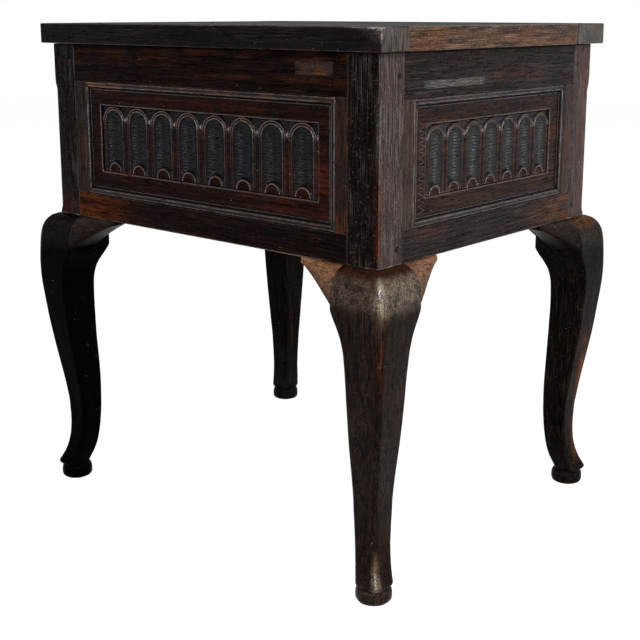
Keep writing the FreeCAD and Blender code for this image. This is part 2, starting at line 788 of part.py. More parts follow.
def make_ear(corner, side_name, first):
    """A shaped bracket that carries the knee's curve on to the rail."""
    base, turn, _, _ = CORNERS[corner]
    label = f"ear_{corner}_{side_name}"
    section_plane, profile_plane = ("YZ_Plane", "XZ_Plane") if first else ("XZ_Plane", "YZ_Plane")
    outwards = -1 if first else 1
    start = S["leg_block"] + S["glue_line"]
    end = S["leg_block"] + S["ear_length"]
    top = case_bottom - S["glue_line"]
    bottom = case_bottom - S["ear_height"]
    over = S["cut_overrun"]
    back = S["rail_thickness"] * -outwards
    low = leg_level(KNEE_WIDEST_SHARES[0])
    body = new_body(label)

    def knee_section(name, reach, offset, arcs=None):
        points = [(back, low), (back, top), (reach * KNEE_TOP_SHARES[1] * outwards, top)]
        for height, outer in (KNEE_TURN_SHARES, KNEE_WIDEST_SHARES):
            points.append((reach * outer * outwards, leg_level(height)))
        return outline(body, name, section_plane, points, -offset, arcs)

    curves = {2: (S["knee_upper_radius"], -outwards), 3: (S["knee_lower_radius"], -outwards)}
    joint = knee_section(f"{label}_joint_section", S["knee_reach"], start, curves)
    tip = knee_section(f"{label}_tip_section", S["ear_tip_reach"], end)
    loft(body, f"{label}_block", "AdditiveLoft", [joint, tip], ruled=True)
    along = -1 if first else 1
    beyond = end + over
    tip_level = case_bottom - S["ear_tip_height"]
    points = [
        ((start - over) * along, bottom), (start * along, bottom), (end * along, tip_level),
        (beyond * along, tip_level), (beyond * along, low - over), ((start - over) * along, low - over),
    ]
    profile = outline(body, f"{label}_profile", profile_plane, points, ZERO,
                      {1: (S["ear_curve_radius"], -along)})
    scoop = pocket(body, f"{label}_scoop", profile, S["leg_block"] * 2)
    scoop.Midplane = True
    body.Tip = scoop
    bind_place(body, base, turn)
    return body


def make_case_pegs():
    """The oak pegs through the tenons, at both faces of every post."""
    pegs = []
    length = tenon_back + S["peg_past_tenon"] + S["peg_proud"]
    for side in SIDES.values():
        row = []
        for rail in ("top", "bottom"):
            for end, sign in (("left", -1), ("right", 1)):
                place = (side.half_clear + S["peg_from_shoulder"]) * sign
                row.append(rod(f"{side.name}_{rail}_{end}_peg", "y",
                               (place, -S["peg_proud"], side.peg_level(rail)), length, S["peg_radius"]))
        pegs.append(side.place(group(f"{side.name}_pegs", row)))
    return group("case_pegs", pegs)


FLOOR_BOARDS = ("floor_board_left", "floor_board_middle", "floor_board_right")


def floor_limits():
    """The levels of the floor's underside and upper face."""
    low = case_bottom + S["bearer_size"]
    return low, low + S["floor_thickness"]


def floor_nail_places():
    """The places of the floor's nails: two at each end of each board, over the bearers."""
    reach = half_depth - S["rail_thickness"] - S["bearer_size"] / 2
    for count, name in enumerate(FLOOR_BOARDS):
        low, high = floor_board_limits(count)
        for end, sign in (("front", -1), ("back", 1)):
            yield f"{name}_{end}_left", name, end, low + S["floor_nail_from_edge"], reach * sign
            yield f"{name}_{end}_right", name, end, high - S["floor_nail_from_edge"], reach * sign


def floor_board_limits(count):
    """The left and right edge of one of the floor's boards."""
    half = half_width - S["rail_thickness"] - S["floor_side_clearance"]
    share = half * 2 / len(FLOOR_BOARDS)
    return share * count - half, share * (count + 1) - half - S["floor_board_gap"]


def make_bearer(name, sign):
    """A strip along the foot of the front or back rail that carries the floor."""
    outer = (half_depth - S["rail_thickness"]) * sign
    inner = (half_depth - S["rail_thickness"] - S["bearer_size"]) * sign
    y = (outer, inner) if sign < 0 else (inner, outer)
    half = half_width - S["post_size"]
    low = floor_limits()[0]
    timber = block(f"{name}_timber", (-half, half), y, (case_bottom, low))
    holes = []
    for nail, _, end, x, y_place in floor_nail_places():
        if end in name:
            holes.append(rod(f"{name}_{nail}_hole", "z",
                             (x, y_place, floor_limits()[1] - S["floor_nail_length"] - S["joint_clearance"]),
                             S["floor_nail_length"], S["nail_radius"] + S["nail_clearance"]))
    return cut(name, timber, holes)


def make_floor_board(name, count):
    """One of the floor's boards, notched round the posts where it meets them."""
    low, high = floor_limits()
    half = half_depth - S["rail_thickness"] - S["floor_side_clearance"]
    timber = block(f"{name}_timber", floor_board_limits(count), (-half, half), (low, high))
    over, clearance = S["cut_overrun"], S["floor_side_clearance"]
    cuts = []
    for nail, board, _, x_place, y_place in floor_nail_places():
        if board == name:
            cuts.append(rod(f"{name}_{nail}_hole", "z", (x_place, y_place, low - over),
                            S["floor_thickness"] + over * 2, S["nail_radius"] + S["nail_clearance"]))
    inner_x = half_width - S["post_size"] - clearance
    inner_y = half_depth - S["post_size"] - clearance
    notch_x = {0: (-half_width, -inner_x), len(FLOOR_BOARDS) - 1: (inner_x, half_width)}.get(count)
    if notch_x is not None:
        for end, y in (("front", (-half_depth, -inner_y)), ("back", (inner_y, half_depth))):
            cuts.append(block(f"{name}_{end}_notch", notch_x, y, (low - over, high + over)))
    return cut(name, timber, cuts)


def make_nail(name, place, direction, length):
    """A nail with a flat head; its head lies at place and it points along direction (+1 up, -1 down)."""
    x, y, z = place
    head_low = z if direction > 0 else z - S["nail_head_thickness"]
    head = rod(f"{name}_head", "z", (x, y, head_low), S["nail_head_thickness"], S["nail_head_radius"])
    shank_low = z if direction > 0 else z - length
    shank = rod(f"{name}_shank", "z", (x, y, shank_low), length, S["nail_radius"])
    return joined(name, [head, shank])


def make_floor_nails():
    """The nails that hold the floor to its bearers, with their heads on the boards."""
    level = floor_limits()[1] + S["nail_head_thickness"]
    length = S["floor_nail_length"] + S["nail_head_thickness"] - S["joint_clearance"]
    nails = [make_nail(f"{name}_nail", (x, y, level), -1, length) for name, _, _, x, y in floor_nail_places()]
    return group("floor_nails", nails)


# The lid: front and back rails running through, end rails tenoned between them, boards within.
lid_half_width = half_width + S["lid_overhang"]
lid_half_depth = half_depth + S["lid_overhang"]
lid_inner_front = -lid_half_depth + S["lid_front_rail"]
lid_inner_back = lid_half_depth - S["lid_back_rail"]
lid_inner_side = lid_half_width - S["lid_end_rail"]
lid_tongue_high = lid_top - S["lid_tongue_below_top"]
lid_tongue_low = lid_tongue_high - S["lid_tongue_thickness"]
lid_tenon_high = lid_top - S["lid_tenon_below_top"]
lid_tenon_low = lid_tenon_high - S["lid_tenon_thickness"]
hinge_axis_y = half_depth + S["knuckle_clearance"] + S["knuckle_radius"]
hinge_axis_z = case_top + S["lid_seat_gap"] / 2


def lid_tenon_limits(sign):
    """Where an end rail's tenons lie across the lid."""
    near = lid_inner_side + S["lid_tongue_length"] + S["lid_tenon_shoulder"]
    far = lid_half_width - S["lid_tenon_shoulder"]
    return (near, far) if sign > 0 else (-far, -near)


def lid_peg_places():
    """The pegs of the lid: two through each tenon."""
    half_tenon = S["lid_tenon_length"] / 2
    for hand, sign in (("left", -1), ("right", 1)):
        low, high = lid_tenon_limits(sign)
        for end, level in (("front", lid_inner_front - half_tenon), ("back", lid_inner_back + half_tenon)):
            yield f"{hand}_{end}_first", end, low + S["lid_peg_from_edge"], level
            yield f"{hand}_{end}_second", end, high - S["lid_peg_from_edge"], level


def lid_peg_holes(label, wanted=None):
    """Holes for the lid's pegs, in the pieces that they pass through."""
    depth = lid_top - lid_tenon_low + S["lid_peg_past_tenon"] + S["joint_clearance"]
    holes = []
    for name, end, x, y in lid_peg_places():
        if wanted is None or end == wanted:
            holes.append(rod(f"{label}_{name}_peg_hole", "z", (x, y, lid_top - depth),
                             depth + S["cut_overrun"], S["lid_peg_radius"] + S["peg_clearance"]))
    return holes


def make_lid_rail(label, end, y):
    """A through rail of the lid, grooved for the boards and mortised for the end rails."""
    clearance, over = S["joint_clearance"], S["cut_overrun"]
    timber = block(f"{label}_timber", (-lid_half_width, lid_half_width), y, (lid_bottom, lid_top))
    inner = y[1] if end == "front" else y[0]
    tongue = S["lid_tongue_length"] + clearance
    slot_y = (inner - tongue, inner + over) if end == "front" else (inner - over, inner + tongue)
    cuts = [block(f"{label}_groove", (-lid_inner_side - tongue, lid_inner_side + tongue), slot_y,
                  (lid_tongue_low - clearance, lid_tongue_high + clearance))]
    depth = S["lid_tenon_length"] + clearance
    mortise_y = (inner - depth, inner + over) if end == "front" else (inner - over, inner + depth)
    for hand, sign in (("left", -1), ("right", 1)):
        near, far = lid_tenon_limits(sign)
        cuts.append(block(f"{label}_{hand}_mortise", (near - clearance, far + clearance), mortise_y,
                          (lid_tenon_low - clearance, lid_tenon_high + clearance)))
    cuts += lid_peg_holes(label, end)
    if end == "back":
        cuts += lid_hinge_cuts(label)
    return cut(label, timber, cuts)


def lid_hinge_cuts(label):
    """The shallow recess for each lid leaf, its nail holes, and the notch over the knuckles."""
    clearance, over = S["hinge_recess_clearance"], S["cut_overrun"]
    cuts = []
    for name, middle in HINGES.items():
        half = S["hinge_width"] / 2 + clearance
        x = (middle - half, middle + half)
        cuts.append(block(f"{label}_{name}_leaf_recess", x, (half_depth - S["hinge_leaf"] - clearance, half_depth),
                          (lid_bottom - over, lid_bottom + S["hinge_leaf_thickness"] + clearance)))
        notch = S["knuckle_radius"] + S["knuckle_notch_clearance"]
        cuts.append(block(f"{label}_{name}_notch", x, (half_depth - clearance, hinge_axis_y + notch),
                          (lid_bottom - over, hinge_axis_z + notch)))
        for count, step in enumerate((-1, 0, 1)):
            start = (middle + hinge_nail_pitch * step, half_depth - S["hinge_leaf"] + S["nail_from_edge"],
                     lid_bottom - over)
            cuts.append(rod(f"{label}_{name}_nail_hole_{count}", "z", start,
                            S["nail_length"] + clearance + over, S["nail_radius"] + S["nail_clearance"]))
    return cuts


def make_lid_end(label, sign):
    """An end rail of the lid with a tenon at each end."""
    clearance, over = S["joint_clearance"], S["cut_overrun"]
    inner, outer = lid_inner_side * sign, lid_half_width * sign
    x = (inner, outer) if sign > 0 else (outer, inner)
    timber = block(f"{label}_timber", x, (lid_inner_front, lid_inner_back), (lid_bottom, lid_top))
    tenons = block(f"{label}_tenons", lid_tenon_limits(sign),
                   (lid_inner_front - S["lid_tenon_length"], lid_inner_back + S["lid_tenon_length"]),
                   (lid_tenon_low, lid_tenon_high))
    tongue = S["lid_tongue_length"] + clearance
    slot = (inner - over, inner + tongue) if sign > 0 else (inner - tongue, inner + over)
    cuts = [block(f"{label}_groove", slot, (lid_inner_front - over, lid_inner_back + over),
                  (lid_tongue_low - clearance, lid_tongue_high + clearance))]
    return cut(label, joined(f"{label}_whole", [timber, tenons]), cuts + lid_peg_holes(label))


def make_lid_board(label, front):
    """A board of the lid's middle, with a tongue on the three edges that meet the frame."""
    clearance = S["joint_clearance"]
    middle = (lid_inner_front + lid_inner_back) / 2
    gap = S["lid_board_gap"] / 2
    near = lid_inner_front + clearance if front else middle + gap
    far = middle - gap if front else lid_inner_back - clearance
    side = lid_inner_side - clearance
    board = block(f"{label}_timber", (-side, side), (near, far), (lid_top - S["lid_board_thickness"], lid_top))
    reach = S["lid_tongue_length"]
    tongue_y = (near - reach, far) if front else (near, far + reach)
    tongue = block(f"{label}_tongue", (-side - reach, side + reach), tongue_y, (lid_tongue_low, lid_tongue_high))
    return joined(label, [board, tongue])


def make_lid_pegs():
    """The oak pegs through the lid's tenons."""
    depth = lid_top - lid_tenon_low + S["lid_peg_past_tenon"]
    pegs = [rod(f"lid_peg_{name}", "z", (x, y, lid_top - depth), depth, S["lid_peg_radius"])
            for name, _, x, y in lid_peg_places()]
    return group("lid_pegs", pegs)


# The butt hinges: a leaf let into the back rail, a leaf let into the lid, and a pin.

def knuckle_spans(middle):
    """The three knuckles of a hinge along its pin: outer, inner, outer."""
    third = S["hinge_width"] / 3
    half_gap = S["knuckle_gap"] / 2
    edge = middle - S["hinge_width"] / 2
    return [
        (edge, edge + third - half_gap),
        (edge + third + half_gap, edge + third * 2 - half_gap),
        (edge + third * 2 + half_gap, edge + third * 3),
    ]


def make_leaf(label, middle, on_lid):
    """One leaf of a hinge: a plate, the knuckles that it carries, and its nail holes."""
    low = lid_bottom if on_lid else case_top - S["hinge_leaf_thickness"]
    level = (low, low + S["hinge_leaf_thickness"])
    inner_edge = half_depth - S["hinge_leaf"]
    half = S["hinge_width"] / 2
    pieces = [block(f"{label}_plate", (middle - half, middle + half), (inner_edge, half_depth), level)]
    spans = knuckle_spans(middle)
    mine = spans[1:2] if on_lid else spans[::2]
    for count, (start, end) in enumerate(mine):
        pieces.append(block(f"{label}_tab_{count}", (start, end), (half_depth, hinge_axis_y), level))
        pieces.append(rod(f"{label}_knuckle_{count}", "x", (start, hinge_axis_y, hinge_axis_z), end - start,
                          S["knuckle_radius"]))
    bore = S["pin_radius"] + (S["pin_running"] if on_lid else S["pin_fit"])
    over = S["cut_overrun"]
    cuts = [rod(f"{label}_bore", "x", (middle - half - over, hinge_axis_y, hinge_axis_z),
                S["hinge_width"] + over * 2, bore)]
    for count, step in enumerate((-1, 0, 1)):
        place = (middle + hinge_nail_pitch * step, inner_edge + S["nail_from_edge"])
        cuts.append(rod(f"{label}_nail_hole_{count}", "z", (*place, level[0] - over),
                        S["hinge_leaf_thickness"] + over * 2, S["nail_radius"] + S["nail_clearance"]))
        head = S["nail_head_thickness"] + S["nail_clearance"]
        sink_low = level[0] - over if on_lid else level[1] - head
        cuts.append(rod(f"{label}_nail_sink_{count}", "z", (*place, sink_low), head + over,
                        S["nail_head_radius"] + S["nail_clearance"]))
    return cut(label, joined(f"{label}_whole", pieces), cuts)


def make_hinge_pins():
    """The pins of both hinges."""
    half = S["hinge_width"] / 2
    pins = [rod(f"hinge_pin_{name}", "x", (middle - half, hinge_axis_y, hinge_axis_z), S["hinge_width"],
                S["pin_radius"]) for name, middle in HINGES.items()]
    return group("hinge_pins", pins)


def make_hinge_nails(label, on_lid):
    """The nails of the leaves, heads flush with the plates."""
    level = lid_bottom if on_lid else case_top
    direction = 1 if on_lid else -1
    nails = []
    for name, middle in HINGES.items():
        for count, step in enumerate((-1, 0, 1)):
            place = (middle + hinge_nail_pitch * step, half_depth - S["hinge_leaf"] + S["nail_from_edge"], level)
            nails.append(make_nail(f"{label}_{name}_{count}", place, direction, S["nail_length"]))
    return group(label, nails)


def make_parts():
    """Every sub-part by the name of its node."""
    parts = []
    for corner, (_, _, first_side, second_side) in CORNERS.items():
        parts += [make_post(corner), make_leg(corner)]
        parts += [make_ear(corner, first_side, True), make_ear(corner, second_side, False)]
    for side in SIDES.values():
        parts += [make_rail(side, "top"), make_rail(side, "bottom"), make_stiles(side)]
        parts += [make_panel(side), make_moulding(side)]
    parts += [make_patch(name) for name in PATCHES]
    parts += [make_case_pegs(), make_bearer("floor_bearer_front", -1), make_bearer("floor_bearer_back", 1)]
    parts += [make_floor_board(name, count) for count, name in enumerate(FLOOR_BOARDS)]
    parts.append(make_floor_nails())
    parts.append(make_lid_rail("lid_front_rail", "front", (-lid_half_depth, lid_inner_front)))
    parts.append(make_lid_rail("lid_back_rail", "back", (lid_inner_back, lid_half_depth)))
    parts += [make_lid_end("lid_left_end", -1), make_lid_end("lid_right_end", 1)]
    parts += [make_lid_board("lid_board_front", True), make_lid_board("lid_board_back", False)]
    parts.append(make_lid_pegs())
    for name, middle in HINGES.items():
        parts.append(make_leaf(f"hinge_{name}_case_leaf", middle, False))
        parts.append(make_leaf(f"hinge_{name}_lid_leaf", middle, True))
    parts += [make_hinge_pins(), make_hinge_nails("hinge_nails_case", False)]
    parts.append(make_hinge_nails("hinge_nails_lid", True))
    return parts


def check_states():
    """Stop on anything that failed to build."""
    failed = [item.Label for item in document.Objects if "Invalid" in item.State or "Error" in item.State]
    if failed:
        raise RuntimeError(f"did not build: {', '.join(failed)}")


def write_parts(parts):
    """Write one file for each sub-part, after a test that it is sound."""
    os.makedirs(PARTS_FOLDER, exist_ok=True)
    for item in parts:
        shape = item.Shape
        if shape.isNull() or not shape.isValid() or not shape.Solids:
            raise RuntimeError(f"{item.Label} has no sound solid")
        shape.exportStep(os.path.join(PARTS_FOLDER, f"{item.Label}.step"))
        print(f"{item.Label}: {len(shape.Solids)} solids, {shape.Volume:.0f} cubic millimetres")


def check_cuts():
    """A cut that points the wrong way removes nothing, so each one's effect is compared."""
    for item in document.Objects:
        if item.TypeId in ("PartDesign::Pocket", "PartDesign::SubtractiveLoft", "PartDesign::LinearPattern"):
            before = item.BaseFeature.Shape.Volume
            if item.Shape.Volume >= before - VOLUME_ROUNDING:
                raise RuntimeError(f"{item.Label} cuts nothing")


all_parts = make_parts()
document.recompute()
check_states()
check_cuts()
write_parts(all_parts)
print(f"{len(all_parts)} sub-parts")
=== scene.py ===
"""Carved oak box with a lifting lid on four cabriole legs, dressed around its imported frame."""

import itertools
import logging
import math
from dataclasses import dataclass, field, replace
from enum import Enum

import bpy
import numpy as np
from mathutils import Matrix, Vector


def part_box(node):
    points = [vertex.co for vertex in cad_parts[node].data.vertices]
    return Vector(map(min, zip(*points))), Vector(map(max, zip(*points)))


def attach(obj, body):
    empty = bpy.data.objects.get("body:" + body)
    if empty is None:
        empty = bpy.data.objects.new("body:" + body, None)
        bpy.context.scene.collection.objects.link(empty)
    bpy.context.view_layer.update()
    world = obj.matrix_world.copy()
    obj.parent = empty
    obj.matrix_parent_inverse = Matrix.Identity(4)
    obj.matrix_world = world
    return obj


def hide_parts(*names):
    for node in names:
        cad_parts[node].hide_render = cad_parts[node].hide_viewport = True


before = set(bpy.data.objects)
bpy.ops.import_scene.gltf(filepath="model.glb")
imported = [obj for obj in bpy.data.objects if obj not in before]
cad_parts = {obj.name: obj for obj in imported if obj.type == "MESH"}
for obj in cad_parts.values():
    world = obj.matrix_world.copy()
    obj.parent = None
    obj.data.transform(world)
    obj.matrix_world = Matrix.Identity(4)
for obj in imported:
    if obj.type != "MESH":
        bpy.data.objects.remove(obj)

LOG = logging.getLogger("carved_box")
MM = 0.001
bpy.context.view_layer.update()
ROOT, LID = "box_on_legs", "lid"
PICTURE_WIDTH = 640
SENSOR_MM = 36.0
# the cosine and sine of each quarter turn, the corners of a section, and those of the case
QUARTER_TURNS = ((1, 0), (0, 1), (-1, 0), (0, -1))
CORNER_SIGNS = ((1, 1), (-1, 1), (-1, -1), (1, -1))
SIDES = ("front", "right", "back", "left")
CORNERS = {"front_right": (1, -1), "back_right": (1, 1), "back_left": (-1, 1), "front_left": (-1, -1)}
ARC_POINTS = 5
HASH_STEPS = np.array([73856093, 19349663, 83492791])
# what each attribute of a mesh is called in a shell
LAYERS = {"worn": "worn", "sunk": "sunk", "end_grain": "ends", "timber_seed": "seed", "bare": "bare"}
Socket = bpy.types.NodeSocket
Tree = bpy.types.NodeTree
Material = bpy.types.Material
Triple = tuple[float, float, float]
Colour = tuple[float, float, float, float]


class Grain(Enum):
    """The way the grain of a timber runs."""

    X = 0
    Y = 1
    Z = 2


def linear(hex_colour: str) -> Colour:
    """Turn an sRGB hex colour into linear light.

    Args:
        hex_colour: Six hex digits, such as "3a2418".

    Returns:
        Red, green, blue and an alpha of one.
    """
    parts = [int(hex_colour[i:i + 2], 16) / 255 for i in (0, 2, 4)]
    return (*[c / 12.92 if c <= 0.04045 else ((c + 0.055) / 1.055) ** 2.4 for c in parts], 1.0)


def lumps(points: np.ndarray, size: float | Triple, seed: int = 0) -> np.ndarray:
    """Smooth random values, the same on every run.

    Args:
        points: Places in millimetres, one row each.
        size: How large a lump is in millimetres, alike or along each axis.
        seed: Which pattern is taken.

    Returns:
        One value between -1 and 1 for each place.
    """
    places = points / np.asarray(size, float) + np.array([17.31, 5.77, 9.13]) * (seed + 1)
    cell = np.floor(places).astype(np.int64)
    part = places - cell
    part = part * part * (3 - 2 * part)
    total = np.zeros(len(points))
    for corner in itertools.product((0, 1), repeat=3):
        mixed = np.bitwise_xor.reduce((cell + np.array(corner)) * HASH_STEPS, axis=1)
        mixed = (mixed ^ (mixed >> 13)) * 1274126177 & 0x7FFFFFFF
        mixed = ((mixed ^ (mixed >> 11)) * 668265263) & 0x7FFFFFFF
        weight = np.prod(np.where(np.array(corner) == 1, part, 1 - part), axis=1)
        total += (mixed / 0x3FFFFFFF - 1) * weight
    return total


def smooth(low: float, high: float, values: np.ndarray) -> np.ndarray:
    """Rise softly from nought at low to one at high."""
    t = np.clip((values - low) / (high - low), 0, 1)
    return t * t * (3 - 2 * t)


@dataclass
class Shell:
    """Closed skins in millimetres, and what each point has been through."""

    points: np.ndarray
    faces: list[tuple[int, ...]]
    worn: np.ndarray
    sunk: np.ndarray
    ends: np.ndarray
    seed: np.ndarray
    bare: np.ndarray
    flat: set[int] = field(default_factory=set)
    kinds: dict[int, int] = field(default_factory=dict)

    @classmethod
    def plain(cls, points: np.ndarray, faces: list[tuple[int, ...]], seed: float = 0.0) -> "Shell":
        """Make a shell with no wear.

        Args:
            points: Places in millimetres.
            faces: Point numbers of each face, outward.
            seed: What shifts the grain of this timber.

        Returns:
            The shell.
        """
        count = len(points)
        return cls(np.asarray(points, float), list(faces), np.zeros(count), np.zeros(count),
                   np.zeros(count), np.full(count, float(seed)), np.zeros(count))

    @classmethod
    def joined(cls, shells: "list[Shell]") -> "Shell":
        """Put several shells into one.

        Args:
            shells: The shells, in order.

        Returns:
            One shell that holds them all.
        """
        faces, flat, kinds, start = [], set(), {}, 0
        for shell in shells:
            flat |= {len(faces) + i for i in shell.flat}
            kinds |= {len(faces) + i: kind for i, kind in shell.kinds.items()}
            faces += [tuple(start + i for i in face) for face in shell.faces]
            start += len(shell.points)
        stack = [np.concatenate([getattr(shell, key) for shell in shells])
                 for key in ("points", *LAYERS.values())]
        return cls(stack[0], faces, *stack[1:], flat, kinds)

    def turned(self, quarter: int) -> "Shell":
        """Turn the shell about the upright axis.

        Args:
            quarter: How many quarter turns, counter-clockwise from above.

        Returns:
            The same shell, turned.
        """
        cosine, sine = QUARTER_TURNS[quarter % 4]
        x, y = self.points[:, 0].copy(), self.points[:, 1].copy()
        self.points[:, 0], self.points[:, 1] = x * cosine - y * sine, x * sine + y * cosine
        return self

    def moved(self, x: float, y: float, z: float) -> "Shell":
        """Move the shell by so many millimetres along each axis."""
        self.points += np.array([x, y, z])
        return self

    def outward(self) -> "Shell":
        """Turn every face of this closed shell to look outwards.

        Returns:
            The shell itself.
        """
        corners = np.array([self.points[[face[0], second, third]] for face in self.faces
                            for second, third in zip(face[1:], face[2:])])
        volume = np.einsum("ij,ij->", corners[:, 0], np.cross(corners[:, 1], corners[:, 2]))
        if volume < 0:
            self.faces = [tuple(reversed(face)) for face in self.faces]
        return self

    def of_kind(self, kind: int) -> "Shell":
        """Give every face the finish of that number."""
        self.kinds = {i: kind for i in range(len(self.faces))}
        return self


def skin(rings: np.ndarray, closed_path: bool = False) -> list[tuple[int, ...]]:
    """Faces between rings of points that follow each other.

    Args:
        rings: An array of rings by points by three.
        closed_path: Whether the last ring meets the first one.

    Returns:
        Four-sided faces, and a face at each end where the path is open.
    """
    count, around = rings.shape[:2]
    faces = []
    for i in range(count if closed_path else count - 1):
        here, there = i * around, (i + 1) % count * around
        faces += [(here + j, here + (j + 1) % around, there + (j + 1) % around, there + j)
                  for j in range(around)]
    if not closed_path:
        faces.append(tuple(range(around - 1, -1, -1)))
        faces.append(tuple((count - 1) * around + j for j in range(around)))
    return faces


def timber(low: Triple, high: Triple, grain: Grain, soft: float, wave: float, wear: float,
           seed: int) -> Shell:
    """A planed timber with eased arrises, a little uneven and rubbed along its edges.

    Args:
        low: Its lowest corner.
        high: Its highest corner.
        grain: The way it runs.
        soft: The radius of its arrises.
        wave: How far its faces are from true.
        wear: How much more is rubbed from its arrises.
        seed: Which pattern its unevenness takes.

    Returns:
        The timber as one closed shell.
    """
    a = grain.value
    b, c = (a + 1) % 3, (a + 2) % 3
    low_point, high_point = np.array(low, float), np.array(high, float)
    half = (high_point - low_point) / 2
    middle = (high_point + low_point) / 2
    soft = min(soft, half[b] * 0.6, half[c] * 0.6, half[a] * 0.6)
    corners, arcs, worn = [], [], []
    for turn, (sign_b, sign_c) in enumerate(CORNER_SIGNS):
        for share in np.linspace(0, 1, ARC_POINTS):
            angle = (turn + share) * math.pi / 2
            corners.append((sign_b, sign_c))
            arcs.append((math.cos(angle), math.sin(angle)))
            worn.append(1 - abs(share - 0.5) * 2)
        flat = 2 * (half[c] if turn % 2 else half[b]) - 2 * soft
        # a row of points close to each arris keeps its shading to itself
        close = [gap / flat for gap, least in ((1.3, 4), (4.4, 12)) if flat > least]
        spots = close + list(np.linspace(0, 1, max(int(flat / 14), 1) + 1)[1:-1])
        nxt = CORNER_SIGNS[(turn + 1) % 4]
        for spot in sorted(spots + [1 - spot for spot in close]):
            corners.append((sign_b + (nxt[0] - sign_b) * spot, sign_c + (nxt[1] - sign_c) * spot))
            arcs.append((math.cos(angle), math.sin(angle)))
            worn.append(0.0)
    corners, arcs, worn = np.array(corners), np.array(arcs), np.array(worn)
    insets = [(soft * (1 - math.cos(t)), math.sin(t)) for t in np.linspace(0.25, math.pi / 2, ARC_POINTS)]
    inner = np.linspace(-half[a] + soft * 1.6, half[a] - soft * 1.6, max(int(half[a] / 4), 1) + 1)
    stations = [(-half[a] + d, r) for d, r in insets] + [(s, 1.0) for s in inner]
    stations += [(half[a] - d, r) for d, r in reversed(insets)]
    rings = np.zeros((len(stations), len(corners), 3))
    ways = np.zeros_like(rings)
    for i, (level, size) in enumerate(stations):
        rings[i, :, a] = level
        rings[i, :, b] = corners[:, 0] * (half[b] - soft) + arcs[:, 0] * soft * size
        rings[i, :, c] = corners[:, 1] * (half[c] - soft) + arcs[:, 1] * soft * size
        ways[i, :, b], ways[i, :, c] = arcs[:, 0] * size, arcs[:, 1] * size
    points = rings.reshape(-1, 3) + middle
    edge = np.tile(worn, len(stations))
    end = np.repeat([1 - smooth(0, soft * 2, np.array([half[a] - abs(s)]))[0] for s, _ in stations],
                    len(corners))
    rubbed = np.maximum(edge, end * 0.8)
    stretch = [40.0, 40.0, 40.0]
    stretch[a] = 130.0
    uneven = (lumps(points, tuple(stretch), seed) + 1) / 2 * wave
    chips = np.clip(lumps(points, 9.0, seed + 7) - 0.1, 0, 1) * wear * edge
    points -= ways.reshape(-1, 3) * (uneven + chips + wear * 0.25 * edge)[:, None]
    shell = Shell.plain(points, skin(rings), seed)
    shell.worn = rubbed * (0.75 + 0.25 * lumps(points, 25.0, seed + 3))
    around = len(corners)
    shell.ends[:around] = shell.ends[-around:] = 1
    shell.flat = {len(shell.faces) - 2, len(shell.faces) - 1}
    return shell


def add(tree: Tree, kind: str, inputs: dict | None = None, **settings: str) -> bpy.types.Node:
    """Add a node with its settings and links.

    Args:
        tree: The tree it joins.
        kind: Blender's name for the node.
        inputs: Values or output sockets, by the input's name or number.
        settings: Attributes of the node.

    Returns:
        The new node.
    """
    node = tree.nodes.new(kind)
    for name, value in settings.items():
        setattr(node, name, value)
    for key, value in (inputs or {}).items():
        if isinstance(value, Socket):
            tree.links.new(value, node.inputs[key])
        else:
            node.inputs[key].default_value = value
    return node


def maths(tree: Tree, operation: str, *values: Socket | float) -> Socket:
    """Reckon with up to three values.

    Args:
        tree: The tree that needs the result.
        operation: Blender's word for what is done.
        values: Numbers or sockets, in the node's order.

    Returns:
        The result.
    """
    return add(tree, "ShaderNodeMath", dict(enumerate(values)), operation=operation).outputs[0]


def vector(tree: Tree, **parts: Socket) -> Socket:
    """Put single values together into a vector.

    Args:
        tree: The tree that needs the vector.
        parts: Its X, Y and Z. One that isn't given is nought.

    Returns:
        The vector.
    """
    return add(tree, "ShaderNodeCombineXYZ", parts).outputs[0]


def ranged(tree: Tree, value: Socket, *ends: float, **settings: str) -> Socket:
    """Carry a value from one range into another.

    Args:
        tree: The tree that needs the result.
        value: The value.
        ends: The low and high end of its range, then those of the new one, which is 0 to 1 if left out.
        settings: Attributes of the node.

    Returns:
        The value in the new range.
    """
    names = ("From Min", "From Max", "To Min", "To Max")
    return add(tree, "ShaderNodeMapRange", {"Value": value, **dict(zip(names, ends))}, **settings).outputs[0]


def cleared(owner: Material | bpy.types.World) -> Tree:
    """Empty the node tree of a material or a world.

    Args:
        owner: The material or the world.

    Returns:
        Its tree, with no nodes.
    """
    owner.use_nodes = True
    owner.node_tree.nodes.clear()
    return owner.node_tree


